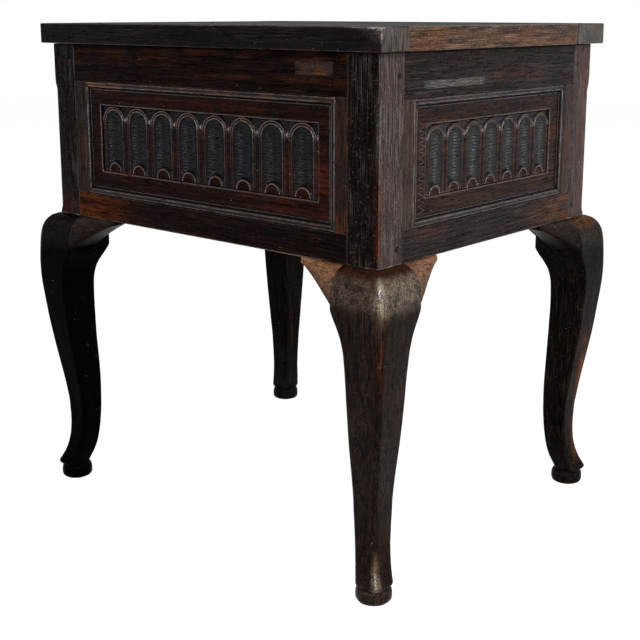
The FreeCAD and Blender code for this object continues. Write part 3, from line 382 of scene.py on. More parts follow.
@dataclass(frozen=True)
class OakFinish:
    """European oak, planed or carved, dark with age and many coats of wax.

    The eye gets a near-black brown with long fine pores, a satin gloss, warmer patches where the
    wax is thin, arrises that hands have rubbed, painted pale so that they also stand for the
    highlights along them, and dirt in what is sunk that also paints in the shade there.
    """

    name: str
    deep: str = "0a0605"
    body: str = "20130e"
    warm: str = "5a2c15"
    hair: str = "5c4c43"
    rubbed: str = "6a584c"
    arris: str = "94877c"
    grime_and_shade: str = "090a0c"
    warm_share: float = 0.25
    hair_share: float = 0.30
    rub_share: float = 0.6
    streak_mm: float = 3.0
    roughness: float = 0.36
    gloss: float = 0.06
    polish: float = 0.30
    bump_mm: float = 0.35
    specks: float = 0.45
    scratches: float = 0.0
    hollow: float = 0.0
    glaze: float = 0.0
    scuff_mm: float = 1.5
    scuff_soft: float = 0.09

    def material(self, grain: Grain) -> Material:
        """Make this finish, or find it where it is already made.

        Args:
            grain: The way the grain runs.

        Returns:
            The material.
        """
        name = f"{self.name}_{grain.name.lower()}"
        made = bpy.data.materials.get(name)
        if made:
            return made
        made = bpy.data.materials.new(name)
        tree = cleared(made)
        place = add(tree, "ShaderNodeTexCoord").outputs["Object"]
        worn, sunk, ends, seed, bare = [
            add(tree, "ShaderNodeAttribute", attribute_name=key).outputs["Fac"] for key in LAYERS]
        step = add(tree, "ShaderNodeVectorMath", {0: seed, 1: (0.137, 0.211, 0.173)}, operation="MULTIPLY")
        moved = add(tree, "ShaderNodeVectorMath", {0: place, 1: step.outputs[0]}, operation="ADD").outputs[0]

        def millimetres(along: float, turn: Triple = (0, 0, 0)) -> Socket:
            """The place in millimetres, shortened along the grain by a factor."""
            scale = [1000.0, 1000.0, 1000.0]
            scale[grain.value] *= along
            return add(tree, "ShaderNodeMapping", {
                "Vector": moved, "Rotation": turn, "Scale": scale}).outputs[0]

        def noise(place: Socket, size_mm: float, detail: float = 2.0, twist: float = 0.0) -> Socket:
            """A noise whose lumps have the given size."""
            return add(tree, "ShaderNodeTexNoise", {
                "Vector": place, "Scale": 1 / size_mm, "Detail": detail, "Roughness": 0.6,
                "Distortion": twist}).outputs["Fac"]

        def ramp(value: Socket, low: float, high: float, top: float = 1.0) -> Socket:
            """Nought at low and top at high."""
            return ranged(tree, value, low, high, 0.0, top, interpolation_type="SMOOTHSTEP")

        def over(colour: Socket | Colour, share: Socket, coat: Socket | str) -> Socket:
            """A colour, and a coat over it for that share."""
            coat = linear(coat) if isinstance(coat, str) else coat
            return add(tree, "ShaderNodeMix", {0: share, 6: colour, 7: coat}, data_type="RGBA").outputs[2]

        def reckoned(operation: str, first: Socket, second: Socket | float, third: float = 0.0) -> Socket:
            """A sum, a product or the larger of two values, kept between nought and one."""
            return add(tree, "ShaderNodeMath", {0: first, 1: second, 2: third}, operation=operation,
                       use_clamp=True).outputs[0]

        def times(first: Socket, second: Socket | float) -> Socket:
            """A product, kept between nought and one."""
            return reckoned("MULTIPLY", first, second)

        grained, even = millimetres(0.036), millimetres(1.0)
        streaks = noise(grained, self.streak_mm, 4.0, 0.4)
        pores = ramp(noise(millimetres(0.09), 1.4, 3.0), 0.52, 0.62)
        colour = over(linear(self.deep), ramp(streaks, 0.36, 0.64), self.body)
        # warm patches where the wax is thin or gone
        broad = noise(grained, self.streak_mm * 7, 2.0, 0.5)
        glow = times(ramp(broad, 0.62 - self.warm_share * 0.5, 0.86 - self.warm_share * 0.4),
                     ramp(noise(even, 60.0, 3.0), 0.40, 0.66))
        thin = times(bare, ramp(noise(millimetres(0.3), 9.0, 4.0), 0.30, 0.56))
        glow = times(reckoned("MAXIMUM", glow, thin), ramp(streaks, 0.28, 0.58))
        colour = over(colour, glow, self.warm)
        # pores and the pale hairs between them, drawn twice as broad as real so that they show
        colour = over(colour, times(pores, 0.6), self.deep)
        grit = noise(millimetres(0.5), 1.5, 2.0)
        colour = over(colour, ramp(grit, 0.50, 0.34, 0.6), self.deep)
        hair = ramp(noise(millimetres(0.028), 1.1, 2.0), 0.54, 0.64)
        hair = times(hair, ramp(noise(millimetres(0.4), 24.0), 0.34, 0.62, self.hair_share))
        hair = times(hair, ramp(worn, 0.40, 0.15))
        hair = reckoned("MAXIMUM", hair, ramp(grit, 0.60, 0.72, self.hair_share))
        colour = over(colour, hair, self.hair)
        # rubbing comes through in fine specks, with dark wax left between them
        scuffs = ramp(noise(millimetres(0.6), self.scuff_mm, 3.0), 0.53 - self.scuff_soft,
                      0.53 + self.scuff_soft)
        scuffs = times(scuffs, ramp(worn, 0.10, 0.90))
        scuffs = times(scuffs, ramp(noise(even, 9.0, 4.0), 0.30, 0.60, self.rub_share))
        colour = over(colour, scuffs, self.rubbed)
        # pale rubbed arrises: wear, and a painted highlight along them as well
        edge = times(ramp(worn, 0.72, 0.98), ramp(noise(even, 10.0, 4.0), 0.42, 0.64, self.rub_share))
        colour = over(colour, edge, self.arris)
        if self.scratches:
            # thin scratches that cross each other
            for turn, along in (((0.3, 0.2, 0.9), 0.06), ((0.9, 1.1, 0.4), 0.08)):
                lines = ramp(noise(millimetres(along, turn), 1.1, 1.0), 0.58, 0.64)
                colour = over(colour, times(lines, ramp(worn, 0.2, 0.8, self.scratches)), self.arris)
        # dirt packed in what is sunk, which also paints in the shade in flutes, grooves and quirks
        colour = over(colour, times(sunk, ramp(noise(even, 2.2, 3.0), 0.10, 0.50, 0.93)), self.grime_and_shade)
        # pinhead specks of dust and wax, drawn a little coarser than real so that they show
        dots = add(tree, "ShaderNodeTexVoronoi", {
            "Vector": even, "Scale": 1 / 6.0, "Randomness": 1.0}, feature="F1").outputs["Distance"]
        speck = times(ramp(dots, 0.12, 0.04), ramp(noise(even, 14.0), 0.56, 0.64, self.specks))
        colour = over(colour, speck, "b0a598")
        # end grain: greyer, with checks that run up and down
        checks = add(tree, "ShaderNodeMapping", {"Vector": moved, "Scale": (450.0, 450.0, 60.0)})
        checks = add(tree, "ShaderNodeTexNoise", {
            "Vector": checks.outputs[0], "Scale": 1.0, "Detail": 3.0}).outputs["Fac"]
        colour = over(colour, times(ends, 0.9), over(linear("1b1714"), ramp(checks, 0.36, 0.60), "4f4741"))
        rough = ranged(tree, noise(even, 18.0, 3.0), 0.3, 0.7, self.roughness - 0.08, self.roughness + 0.10)
        rough = reckoned("ADD", rough, times(pores, 0.15))
        rough = reckoned("ADD", rough, times(sunk, 0.10))
        # hands have polished what stands out; pores stay dull
        shine = reckoned("MULTIPLY_ADD", ramp(worn, 0.2, 0.9), self.polish, self.gloss)
        shine = reckoned("ADD", shine, times(sunk, self.hollow))
        shine = reckoned("ADD", shine, ramp(worn, 0.70, 0.95, self.glaze))
        shine = times(shine, ramp(pores, 1.4, 0.0))
        height = reckoned("ADD", times(streaks, 0.4), reckoned("MULTIPLY_ADD", pores, -0.3, 0.3))
        height = reckoned("ADD", height, times(noise(even, 7.0, 3.0), 0.3))
        bump = add(tree, "ShaderNodeBump", {
            "Height": height, "Strength": 1.0, "Distance": self.bump_mm * MM}).outputs[0]
        shader = add(tree, "ShaderNodeBsdfPrincipled", {
            "Base Color": colour, "Roughness": rough, "Normal": bump, "IOR": 1.5,
            "Specular IOR Level": shine})
        add(tree, "ShaderNodeOutputMaterial", {"Surface": shader.outputs[0]})
        return made


@dataclass(frozen=True)
class IronFinish:
    """Forged iron, blackened and lightly rusted, under old wax.

    The eye gets a dark brown-grey with dull hammer marks and a few brown blooms.
    """

    name: str
    dark: str = "2a2725"
    rust: str = "4a2d1c"
    roughness: float = 0.5

    def material(self) -> Material:
        """Make this finish, or find it where it is already made."""
        made = bpy.data.materials.get(self.name)
        if made:
            return made
        made = bpy.data.materials.new(self.name)
        tree = cleared(made)
        place = add(tree, "ShaderNodeTexCoord").outputs["Object"]
        blooms, marks = [add(tree, "ShaderNodeTexNoise", {
            "Vector": place, "Scale": scale, "Detail": detail, "Roughness": rough}).outputs["Fac"]
            for scale, detail, rough in ((160.0, 5.0, 0.65), (420.0, 2.0, 0.5))]
        share = ranged(tree, blooms, 0.45, 0.7)
        colour = add(tree, "ShaderNodeMix", {
            0: share, 6: linear(self.dark), 7: linear(self.rust)}, data_type="RGBA").outputs[2]
        rough = ranged(tree, blooms, 0.0, 1.0, self.roughness - 0.1, self.roughness + 0.25)
        metal = ranged(tree, share, 0.0, 1.0, 0.85, 0.25)
        bump = add(tree, "ShaderNodeBump", {"Height": marks, "Strength": 0.6, "Distance": 0.0002}).outputs[0]
        shader = add(tree, "ShaderNodeBsdfPrincipled", {
            "Base Color": colour, "Roughness": rough, "Metallic": metal, "Normal": bump})
        add(tree, "ShaderNodeOutputMaterial", {"Surface": shader.outputs[0]})
        return made


CASE_OAK = OakFinish(
    "waxed_oak_case", deep="040202", body="160c09", warm="56290f", hair="3b2a24", rubbed="44342c",
    arris="6a5b52", gloss=0.015)
# a paler copy for the end faces: the light and sheen on the lit right end, painted in
SIDE_OAK = replace(
    CASE_OAK, name="painted_lit_waxed_oak_case", deep="0d0a09", body="2a2120", warm="583420", hair="625650",
    arris="7d726a", gloss=0.045)
POST_OAK = OakFinish(
    "waxed_oak_post", deep="030202", body="140c0a", warm="36110a", hair="57504b", rubbed="4a413c",
    arris="8c8078", warm_share=0.08, hair_share=0.5, rub_share=0.7, streak_mm=2.4, gloss=0.018,
    specks=0.15)
# a paler copy for the posts' faces towards +x: painted light and sheen of the lit side
POST_SIDE_OAK = replace(
    POST_OAK, name="painted_lit_waxed_oak_post", deep="201917", body="4a3e3b", warm="5c2c1c", hair="8b807a",
    rubbed="6d625b", arris="a0958c", gloss=0.08)
STILE_OAK = OakFinish(
    "waxed_oak_stile", deep="080403", body="20120c", warm="462412", hair="42332b", warm_share=0.5,
    streak_mm=2.4)
# a paler copy for the ends' stiles: painted light
STILE_SIDE_OAK = replace(
    STILE_OAK, name="painted_lit_waxed_oak_stile", deep="1d1412", body="42322c", warm="5c3a28", hair="74675f",
    gloss=0.08)
CARVED_OAK = OakFinish(
    "carved_oak", deep="080403", body="200f0b", warm="421c14", hair="42291f", rubbed="50291f",
    arris="6a3f33", grime_and_shade="05080b", warm_share=0.4, rub_share=0.8, hair_share=0.25, roughness=0.22,
    gloss=0.02, polish=0.70, hollow=0.06, bump_mm=0.18, specks=0.7)
# a paler copy for the carved end panels: painted light and sheen
CARVED_SIDE_OAK = replace(
    CARVED_OAK, name="painted_lit_carved_oak", deep="110b0a", body="32211c", warm="4d2c20", hair="5d4a40",
    rubbed="63402f", arris="8a6a58", grime_and_shade="191b1d", gloss=0.04, hollow=0.15)
# its many pale specks: dust and wax, and painted glints on the beads as well
MOULDING_OAK = OakFinish(
    "moulded_oak", deep="070403", body="1c0f0a", warm="5e3116", hair="463429", rubbed="382a22",
    arris="7a6a5e", warm_share=0.42, rub_share=0.6, roughness=0.24, gloss=0.02, polish=0.32, specks=0.9)
# a paler copy for the ends' mouldings: painted light
MOULDING_SIDE_OAK = replace(
    MOULDING_OAK, name="painted_lit_moulded_oak", deep="0e0a0a", body="2b2322", warm="48342a", hair="5f5551",
    rubbed="4a4242", arris="8a807b", gloss=0.045)
BURR_OAK = OakFinish(
    "rubbed_oak_burr", deep="1c1613", body="4c413b", hair="8d8078", hair_share=0.5, gloss=0.2)
PATCH_OAK = OakFinish(
    "patch_oak", deep="070403", body="1c110b", warm="6a3c18", rubbed="5c3c20", warm_share=0.9,
    specks=1.0, gloss=0.02)
# grey and scratched, and paler as well with the painted light of the lit end
PATCH_SIDE_OAK = replace(
    PATCH_OAK, name="grey_painted_lit_patch_oak", deep="171413", body="393532", warm="4a3f38", hair="857d76",
    rubbed="75706a", arris="a8a29c", scratches=0.6, gloss=0.09)
PEG_OAK = OakFinish(
    "riven_oak_peg", body="1e1410", warm="35200f", rub_share=0.3)
LID_OAK = OakFinish(
    "waxed_oak_lid", deep="040405", body="100d0f", warm="5a3420", hair="3b3332", rubbed="4d423d",
    arris="94837a", warm_share=0.20, rub_share=0.9, roughness=0.26, gloss=0.03)
LID_TOP_OAK = replace(
    LID_OAK, name="dusty_waxed_oak_lid", deep="0b0908", body="1c1613", arris="4a403a", rub_share=0.6,
    roughness=0.5, gloss=0.03, polish=0.05)
LID_END_OAK = replace(
    LID_OAK, name="worn_oak_lid_end", deep="20140e", body="46362c", warm="6b462e", hair="8a7665",
    hair_share=0.6, warm_share=0.6, gloss=0.08)
LEG_OAK = OakFinish(
    "waxed_oak_leg", deep="070403", body="22150f", warm="45200f", hair="50453b", rubbed="a8947d",
    arris="978970", warm_share=0.08, rub_share=0.9, roughness=0.19, gloss=0.035, polish=0.28,
    scratches=0.3, streak_mm=2.4, glaze=1.3, scuff_mm=1.2, scuff_soft=0.20)
# a near-black copy for the front left leg: painted shade
DARK_LEG_OAK = replace(
    LEG_OAK, name="painted_shade_oak_leg", deep="010101", body="040302", warm="1a0d08", hair="110e0d",
    rubbed="1a1614", arris="4a443e", rub_share=0.3, gloss=0.006, polish=0.03, scratches=0.1, glaze=0.15)
WORN_LEG_OAK = replace(
    LEG_OAK, name="rubbed_oak_leg", deep="030202", body="110a07", warm="7a4622", rubbed="85776a",
    rub_share=0.6, gloss=0.015, polish=0.08, glaze=0.3)
EAR_OAK = OakFinish(
    "rubbed_oak_ear", deep="140a06", body="2e1c12", warm="80491f", hair="86684c", rubbed="6a4f3a",
    arris="9a7c5e", warm_share=0.5, rub_share=0.6, gloss=0.06, polish=0.2, scratches=0.4, streak_mm=2.4)
# a near-black copy for the ears of the other three legs: painted shade
DARK_EAR_OAK = replace(
    EAR_OAK, name="painted_shade_oak_ear", deep="020101", body="0a0605", warm="1f110a", hair="1d1713",
    rubbed="2a221c", arris="6a5c50", rub_share=0.3, gloss=0.025, polish=0.05, scratches=0.1)
FLOOR_OAK = OakFinish(
    "dry_oak_floor", deep="2a1f17", body="5a4634", warm="745840", hair="8d7860", rubbed="8a735c",
    arris="93806a", warm_share=0.5, rub_share=0.4, roughness=0.7, gloss=0.2, polish=0.0, specks=0.2)
LEG_FINISHES = {
    "front_right": (LEG_OAK, EAR_OAK), "back_right": (WORN_LEG_OAK, DARK_EAR_OAK),
    "back_left": (WORN_LEG_OAK, DARK_EAR_OAK), "front_left": (DARK_LEG_OAK, DARK_EAR_OAK)}
HINGE_IRON = IronFinish("forged_iron_hinge")
NAIL_IRON = IronFinish("wrought_iron_nail", dark="262322")


def mesh_of(name: str, shell: Shell) -> bpy.types.Mesh:
    """Make a Blender mesh of a shell, with its wear as attributes.

    Args:
        name: The mesh's name.
        shell: The shell in millimetres.

    Returns:
        The mesh, in metres.
    """
    mesh = bpy.data.meshes.new(name)
    mesh.from_pydata((shell.points * MM).tolist(), [], shell.faces)
    for key, own in LAYERS.items():
        layer = mesh.attributes.new(key, "FLOAT", "POINT")
        layer.data.foreach_set("value", np.clip(getattr(shell, own), 0, None).astype(np.float32))
    smooth_faces = np.ones(len(mesh.polygons), bool)
    smooth_faces[list(shell.flat)] = False
    mesh.polygons.foreach_set("use_smooth", smooth_faces)
    if shell.kinds:
        numbers = np.array([shell.kinds.get(i, 0) for i in range(len(mesh.polygons))], np.int32)
        mesh.polygons.foreach_set("material_index", numbers)
    mesh.validate()
    mesh.update()
    return mesh


def piece_from(name: str, mesh: bpy.types.Mesh, body: str, nodes: tuple[str, ...],
               materials: tuple[Material, ...]) -> None:
    """Show a mesh as a piece of the object, in place of its CAD nodes.

    Args:
        name: The piece's name.
        mesh: Its mesh, in place.
        body: The CAD body it moves with.
        nodes: The CAD nodes it stands for.
        materials: Its finishes, in the order of its faces' numbers.
    """
    mesh.name = name
    for number, material in enumerate(materials):
        if number < len(mesh.materials):
            mesh.materials[number] = material
        else:
            mesh.materials.append(material)
    piece = bpy.data.objects.new(name, mesh)
    bpy.context.scene.collection.objects.link(piece)
    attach(piece, body)
    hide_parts(*nodes)
    LOG.info("%s: %d faces, for %s", name, len(mesh.polygons), ", ".join(nodes))


def show(name: str, node: str, shell: Shell, slot: str, *materials: Material, body: str = ROOT) -> None:
    """Show a shell as a piece of the object, in place of one CAD node.

    Args:
        name: The piece's name.
        node: The CAD node it stands for.
        shell: The shell in millimetres, in place.
        slot: A material slot's name; not used.
        materials: Its finishes, in the order of its faces' numbers.
        body: The CAD body it moves with.
    """
    piece_from(name, mesh_of(node, shell), body, (node,), materials)


def iron_on(node: str, finish: IronFinish) -> None:
    """Give a kept CAD node its iron.

    Args:
        node: The node's name.
        finish: The iron.
    """
    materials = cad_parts[node].data.materials
    for number in range(len(materials)):
        materials[number] = finish.material()
    if not materials:
        materials.append(finish.material())
    LOG.info("%s: kept, with %s", node, finish.name)


def grown(name: str, source: bpy.types.Mesh, tree: Tree, values: dict) -> bpy.types.Mesh:
    """Run a Geometry Nodes tree on a mesh and keep the plain result.

    Args:
        name: The new mesh's name.
        source: The mesh that the tree starts from.
        tree: The tree.
        values: Its inputs, by name.

    Returns:
        The finished mesh, with no modifier.
    """
    carrier = bpy.data.objects.new(f"{name}_source", source)
    bpy.context.scene.collection.objects.link(carrier)
    modifier = carrier.modifiers.new("grow", "NODES")
    modifier.node_group = tree
    sockets = {s.name: s.identifier for s in tree.interface.items_tree if s.in_out == "INPUT"}
    for key, value in values.items():
        modifier[sockets[key]] = value
    bpy.context.view_layer.update()
    result = bpy.data.meshes.new_from_object(carrier.evaluated_get(bpy.context.evaluated_depsgraph_get()))
    result.name = name
    carrier.modifiers.remove(modifier)
    bpy.data.objects.remove(carrier)
    return result


def points_mesh(name: str, places: list[Triple]) -> bpy.types.Mesh:
    """Make a mesh of loose points for a tree to start from.

    Args:
        name: The mesh's name.
        places: The points in millimetres.

    Returns:
        The mesh, in metres.
    """
    mesh = bpy.data.meshes.new(name)
    mesh.from_pydata([tuple(v * MM for v in place) for place in places], [], [])
    return mesh


def named_tree(name: str, **inputs: tuple[str, ...]) -> Tree:
    """Start a Geometry Nodes tree with named inputs, Geometry and Material among them.

    Args:
        name: The tree's name.
        inputs: Names of further inputs, under Blender's word for what they take.

    Returns:
        The tree, with its inputs and one output.
    """
    tree = bpy.data.node_groups.new(name, "GeometryNodeTree")
    for kind, labels in {"Geometry": ("Geometry",), **inputs, "Material": ("Material",)}.items():
        for label in labels:
            tree.interface.new_socket(label, in_out="INPUT", socket_type=f"NodeSocket{kind}")
    tree.interface.new_socket("Geometry", in_out="OUTPUT", socket_type="NodeSocketGeometry")
    return tree


def set_out(tree: Tree, material: Socket, **copies: Socket) -> None:
    """End a tree: copies on points, made real and given their material.

    Args:
        tree: The tree.
        material: The socket with the material.
        copies: The sockets for Points, Instance and, where the copies turn, Rotation.
    """
    placed = add(tree, "GeometryNodeInstanceOnPoints", copies).outputs[0]
    real = add(tree, "GeometryNodeRealizeInstances", {"Geometry": placed}).outputs[0]
    dressed = add(tree, "GeometryNodeSetMaterial", {"Geometry": real, "Material": material})
    add(tree, "NodeGroupOutput", {0: dressed.outputs[0]})


def row_tree() -> Tree:
    """A tree that sets copies of one carved bay side by side.

    Returns:
        The tree, with inputs Count, Pitch and Material.
    """
    tree = named_tree("carved_row", Int=("Count",), Float=("Pitch",))
    given = add(tree, "NodeGroupInput").outputs
    line = add(tree, "GeometryNodeMeshLine", {
        "Count": given["Count"], "Offset": vector(tree, X=given["Pitch"])}, mode="OFFSET")
    set_out(tree, given["Material"], Points=line.outputs[0], Instance=given["Geometry"])
    return tree


def nick_tree() -> Tree:
    """A tree that sets the raised burr of a chisel nick at every point, slanting by turns.

    Returns:
        The tree, with inputs Length, Width, Height, Slant, Turn, Seed and Material.
    """
    tree = named_tree("chisel_nicks", Float=("Length", "Width", "Height", "Slant"), Vector=("Turn",),
                      Int=("Seed",))
    given = add(tree, "NodeGroupInput").outputs
    ball = add(tree, "GeometryNodeMeshUVSphere", {"Segments": 6, "Rings": 5, "Radius": 0.5}).outputs[0]
    size = vector(tree, X=given["Length"], Y=given["Height"], Z=given["Width"])
    burr = add(tree, "GeometryNodeTransform", {"Geometry": ball, "Scale": size}).outputs[0]
    turnabout = maths(tree, "MODULO", add(tree, "GeometryNodeInputIndex").outputs[0], 2.0)
    lean = maths(tree, "MULTIPLY", maths(tree, "MULTIPLY_ADD", turnabout, 2.0, -1.0), given["Slant"])
    shake = add(tree, "FunctionNodeRandomValue", {2: -0.22, 3: 0.22, "Seed": given["Seed"]},
                data_type="FLOAT").outputs[1]
    slanted = vector(tree, Y=maths(tree, "ADD", lean, shake))
    turn = add(tree, "ShaderNodeVectorMath", {0: given["Turn"], 1: slanted}, operation="ADD").outputs[0]
    set_out(tree, given["Material"], Points=given["Geometry"], Instance=burr, Rotation=turn)
    return tree


def fixing_tree() -> Tree:
    """A tree that sets a peg or a nail at every point, facing the way the point says.

    Returns:
        The tree, with inputs Shank Radius, Shank Length, Head Radius, Head Height, Dome, Sides,
        Tilt, Seed and Material. A point stands at the face that the head lies on.
    """
    tree = named_tree("pegs_and_nails", Float=("Shank Radius", "Shank Length", "Head Radius", "Head Height",
                                               "Dome", "Tilt"), Int=("Sides", "Seed"))
    given = add(tree, "NodeGroupInput").outputs
    parts = []
    for part, length, share, cuts in (("Shank", given["Shank Length"], -0.5, {}),
                                      ("Head", given["Head Height"], 0.5,
                                       {"Side Segments": 2, "Fill Segments": 3})):
        bar = add(tree, "GeometryNodeMeshCylinder", {
            "Vertices": given["Sides"], "Radius": given[f"{part} Radius"], "Depth": length, **cuts})
        parts.append(add(tree, "GeometryNodeTransform", {
            "Geometry": bar.outputs[0],
            "Translation": vector(tree, Z=maths(tree, "MULTIPLY", length, share))}).outputs[0])
    # the head's rim is pulled down by the square of its distance from the middle
    place = add(tree, "GeometryNodeInputPosition").outputs[0]
    axes = add(tree, "ShaderNodeSeparateXYZ", {0: place}).outputs
    flat = vector(tree, X=axes["X"], Y=axes["Y"])
    out = add(tree, "ShaderNodeVectorMath", {0: flat}, operation="LENGTH").outputs["Value"]
    share = maths(tree, "DIVIDE", out, given["Head Radius"])
    high = maths(tree, "DIVIDE", axes["Z"], given["Head Height"])
    down = maths(tree, "MULTIPLY", maths(tree, "MULTIPLY", share, share), high)
    fall = maths(tree, "MULTIPLY", maths(tree, "MULTIPLY", down, given["Dome"]), -1.0)
    parts[1] = add(tree, "GeometryNodeSetPosition", {
        "Geometry": parts[1], "Offset": vector(tree, Z=fall)}).outputs[0]
    whole = add(tree, "GeometryNodeJoinGeometry")
    for part in parts:
        tree.links.new(part, whole.inputs[0])
    facing = add(tree, "GeometryNodeInputNamedAttribute", {"Name": "facing"}, data_type="FLOAT_VECTOR")
    low, top = [vector(tree, X=tilt, Y=tilt, Z=tilt)
                for tilt in (maths(tree, "MULTIPLY", given["Tilt"], -1.0), given["Tilt"])]
    shake = add(tree, "FunctionNodeRandomValue", {0: low, 1: top, "Seed": given["Seed"]},
                data_type="FLOAT_VECTOR").outputs[0]
    leaning = add(tree, "ShaderNodeVectorMath", {0: facing.outputs[0], 1: shake}, operation="ADD")
    turn = add(tree, "FunctionNodeAlignRotationToVector", {"Vector": leaning.outputs[0]}, axis="Z")
    set_out(tree, given["Material"], Points=given["Geometry"], Instance=whole.outputs[0],
            Rotation=turn.outputs[0])
    return tree


@dataclass
class Pegs:
    """Oak pegs of one kind: a shank, and a head that stands a little proud."""

    radius: float
    length: float
    head_height: float
    dome: float = 0.0
    tilt: float = 0.0
    sides: int = 16
    places: list[tuple[Triple, Triple]] = field(default_factory=list)

    def at(self, place: Triple, facing: Triple) -> None:
        """Set one more at a place on a face, with its head facing out."""
        self.places.append((place, facing))

    def show(self, name: str, node: str, tree: Tree, seed: int, body: str) -> None:
        """Grow them all and show them in place of their CAD node.

        Args:
            name: The piece's name.
            node: The CAD node they stand for.
            tree: The tree of pegs and nails.
            seed: What fixes their lean.
            body: The CAD body they move with.
        """
        source = points_mesh(f"{name}_places", [place for place, _ in self.places])
        layer = source.attributes.new("facing", "FLOAT_VECTOR", "POINT")
        layer.data.foreach_set("vector", [v for _, facing in self.places for v in facing])
        material = PEG_OAK.material(Grain.X)
        mesh = grown(name, source, tree, {
            "Shank Radius": self.radius * MM, "Shank Length": self.length * MM,
            "Head Radius": self.radius * MM, "Head Height": self.head_height * MM,
            "Dome": self.dome * MM, "Sides": self.sides, "Tilt": self.tilt, "Seed": seed,
            "Material": material})
        mesh.polygons.foreach_set("use_smooth", np.zeros(len(mesh.polygons), bool))
        piece_from(name, mesh, body, (node,), (material,))


@dataclass(frozen=True)
class Face:
    """One upright face of the case: its own length runs along x before it is turned into place."""

    name: str
    quarter: int
    half_length: float
    half_depth: float
    flutes: int
    field_half: float
    top_rail: float
    bottom_rail: float
    stile: float
    rib: float = 15.5

    @property
    def pale(self) -> bool:
        """Whether it is an end, which takes paler copies of the finishes that paint in the light and sheen
        falling on the lit right end.
        """
        return self.quarter % 2 == 1

    @property
    def grain(self) -> Grain:
        """The way its rails run once they are in place."""
        return Grain.Y if self.quarter % 2 else Grain.X

    @property
    def opening_low(self) -> float:
        """The height of the lower edge of its panel opening."""
        return Case.bottom + self.bottom_rail

    @property
    def opening_high(self) -> float:
        """The height of the upper edge of its panel opening."""
        return Case.top - self.top_rail

    @property
    def opening_half(self) -> float:
        """Half the width of its panel opening."""
        return self.half_length - Case.post - self.stile

    def placed(self, shell: Shell) -> Shell:
        """Bring a shell made for the front into place on this face."""
        return shell.moved(0, -self.half_depth, 0).turned(self.quarter)

    def point(self, x: float, depth: float, z: float) -> Triple:
        """The place in the frame of a point on this face, by its depth behind the face."""
        y = depth - self.half_depth
        cosine, sine = QUARTER_TURNS[self.quarter]
        return (x * cosine - y * sine, x * sine + y * cosine, z)


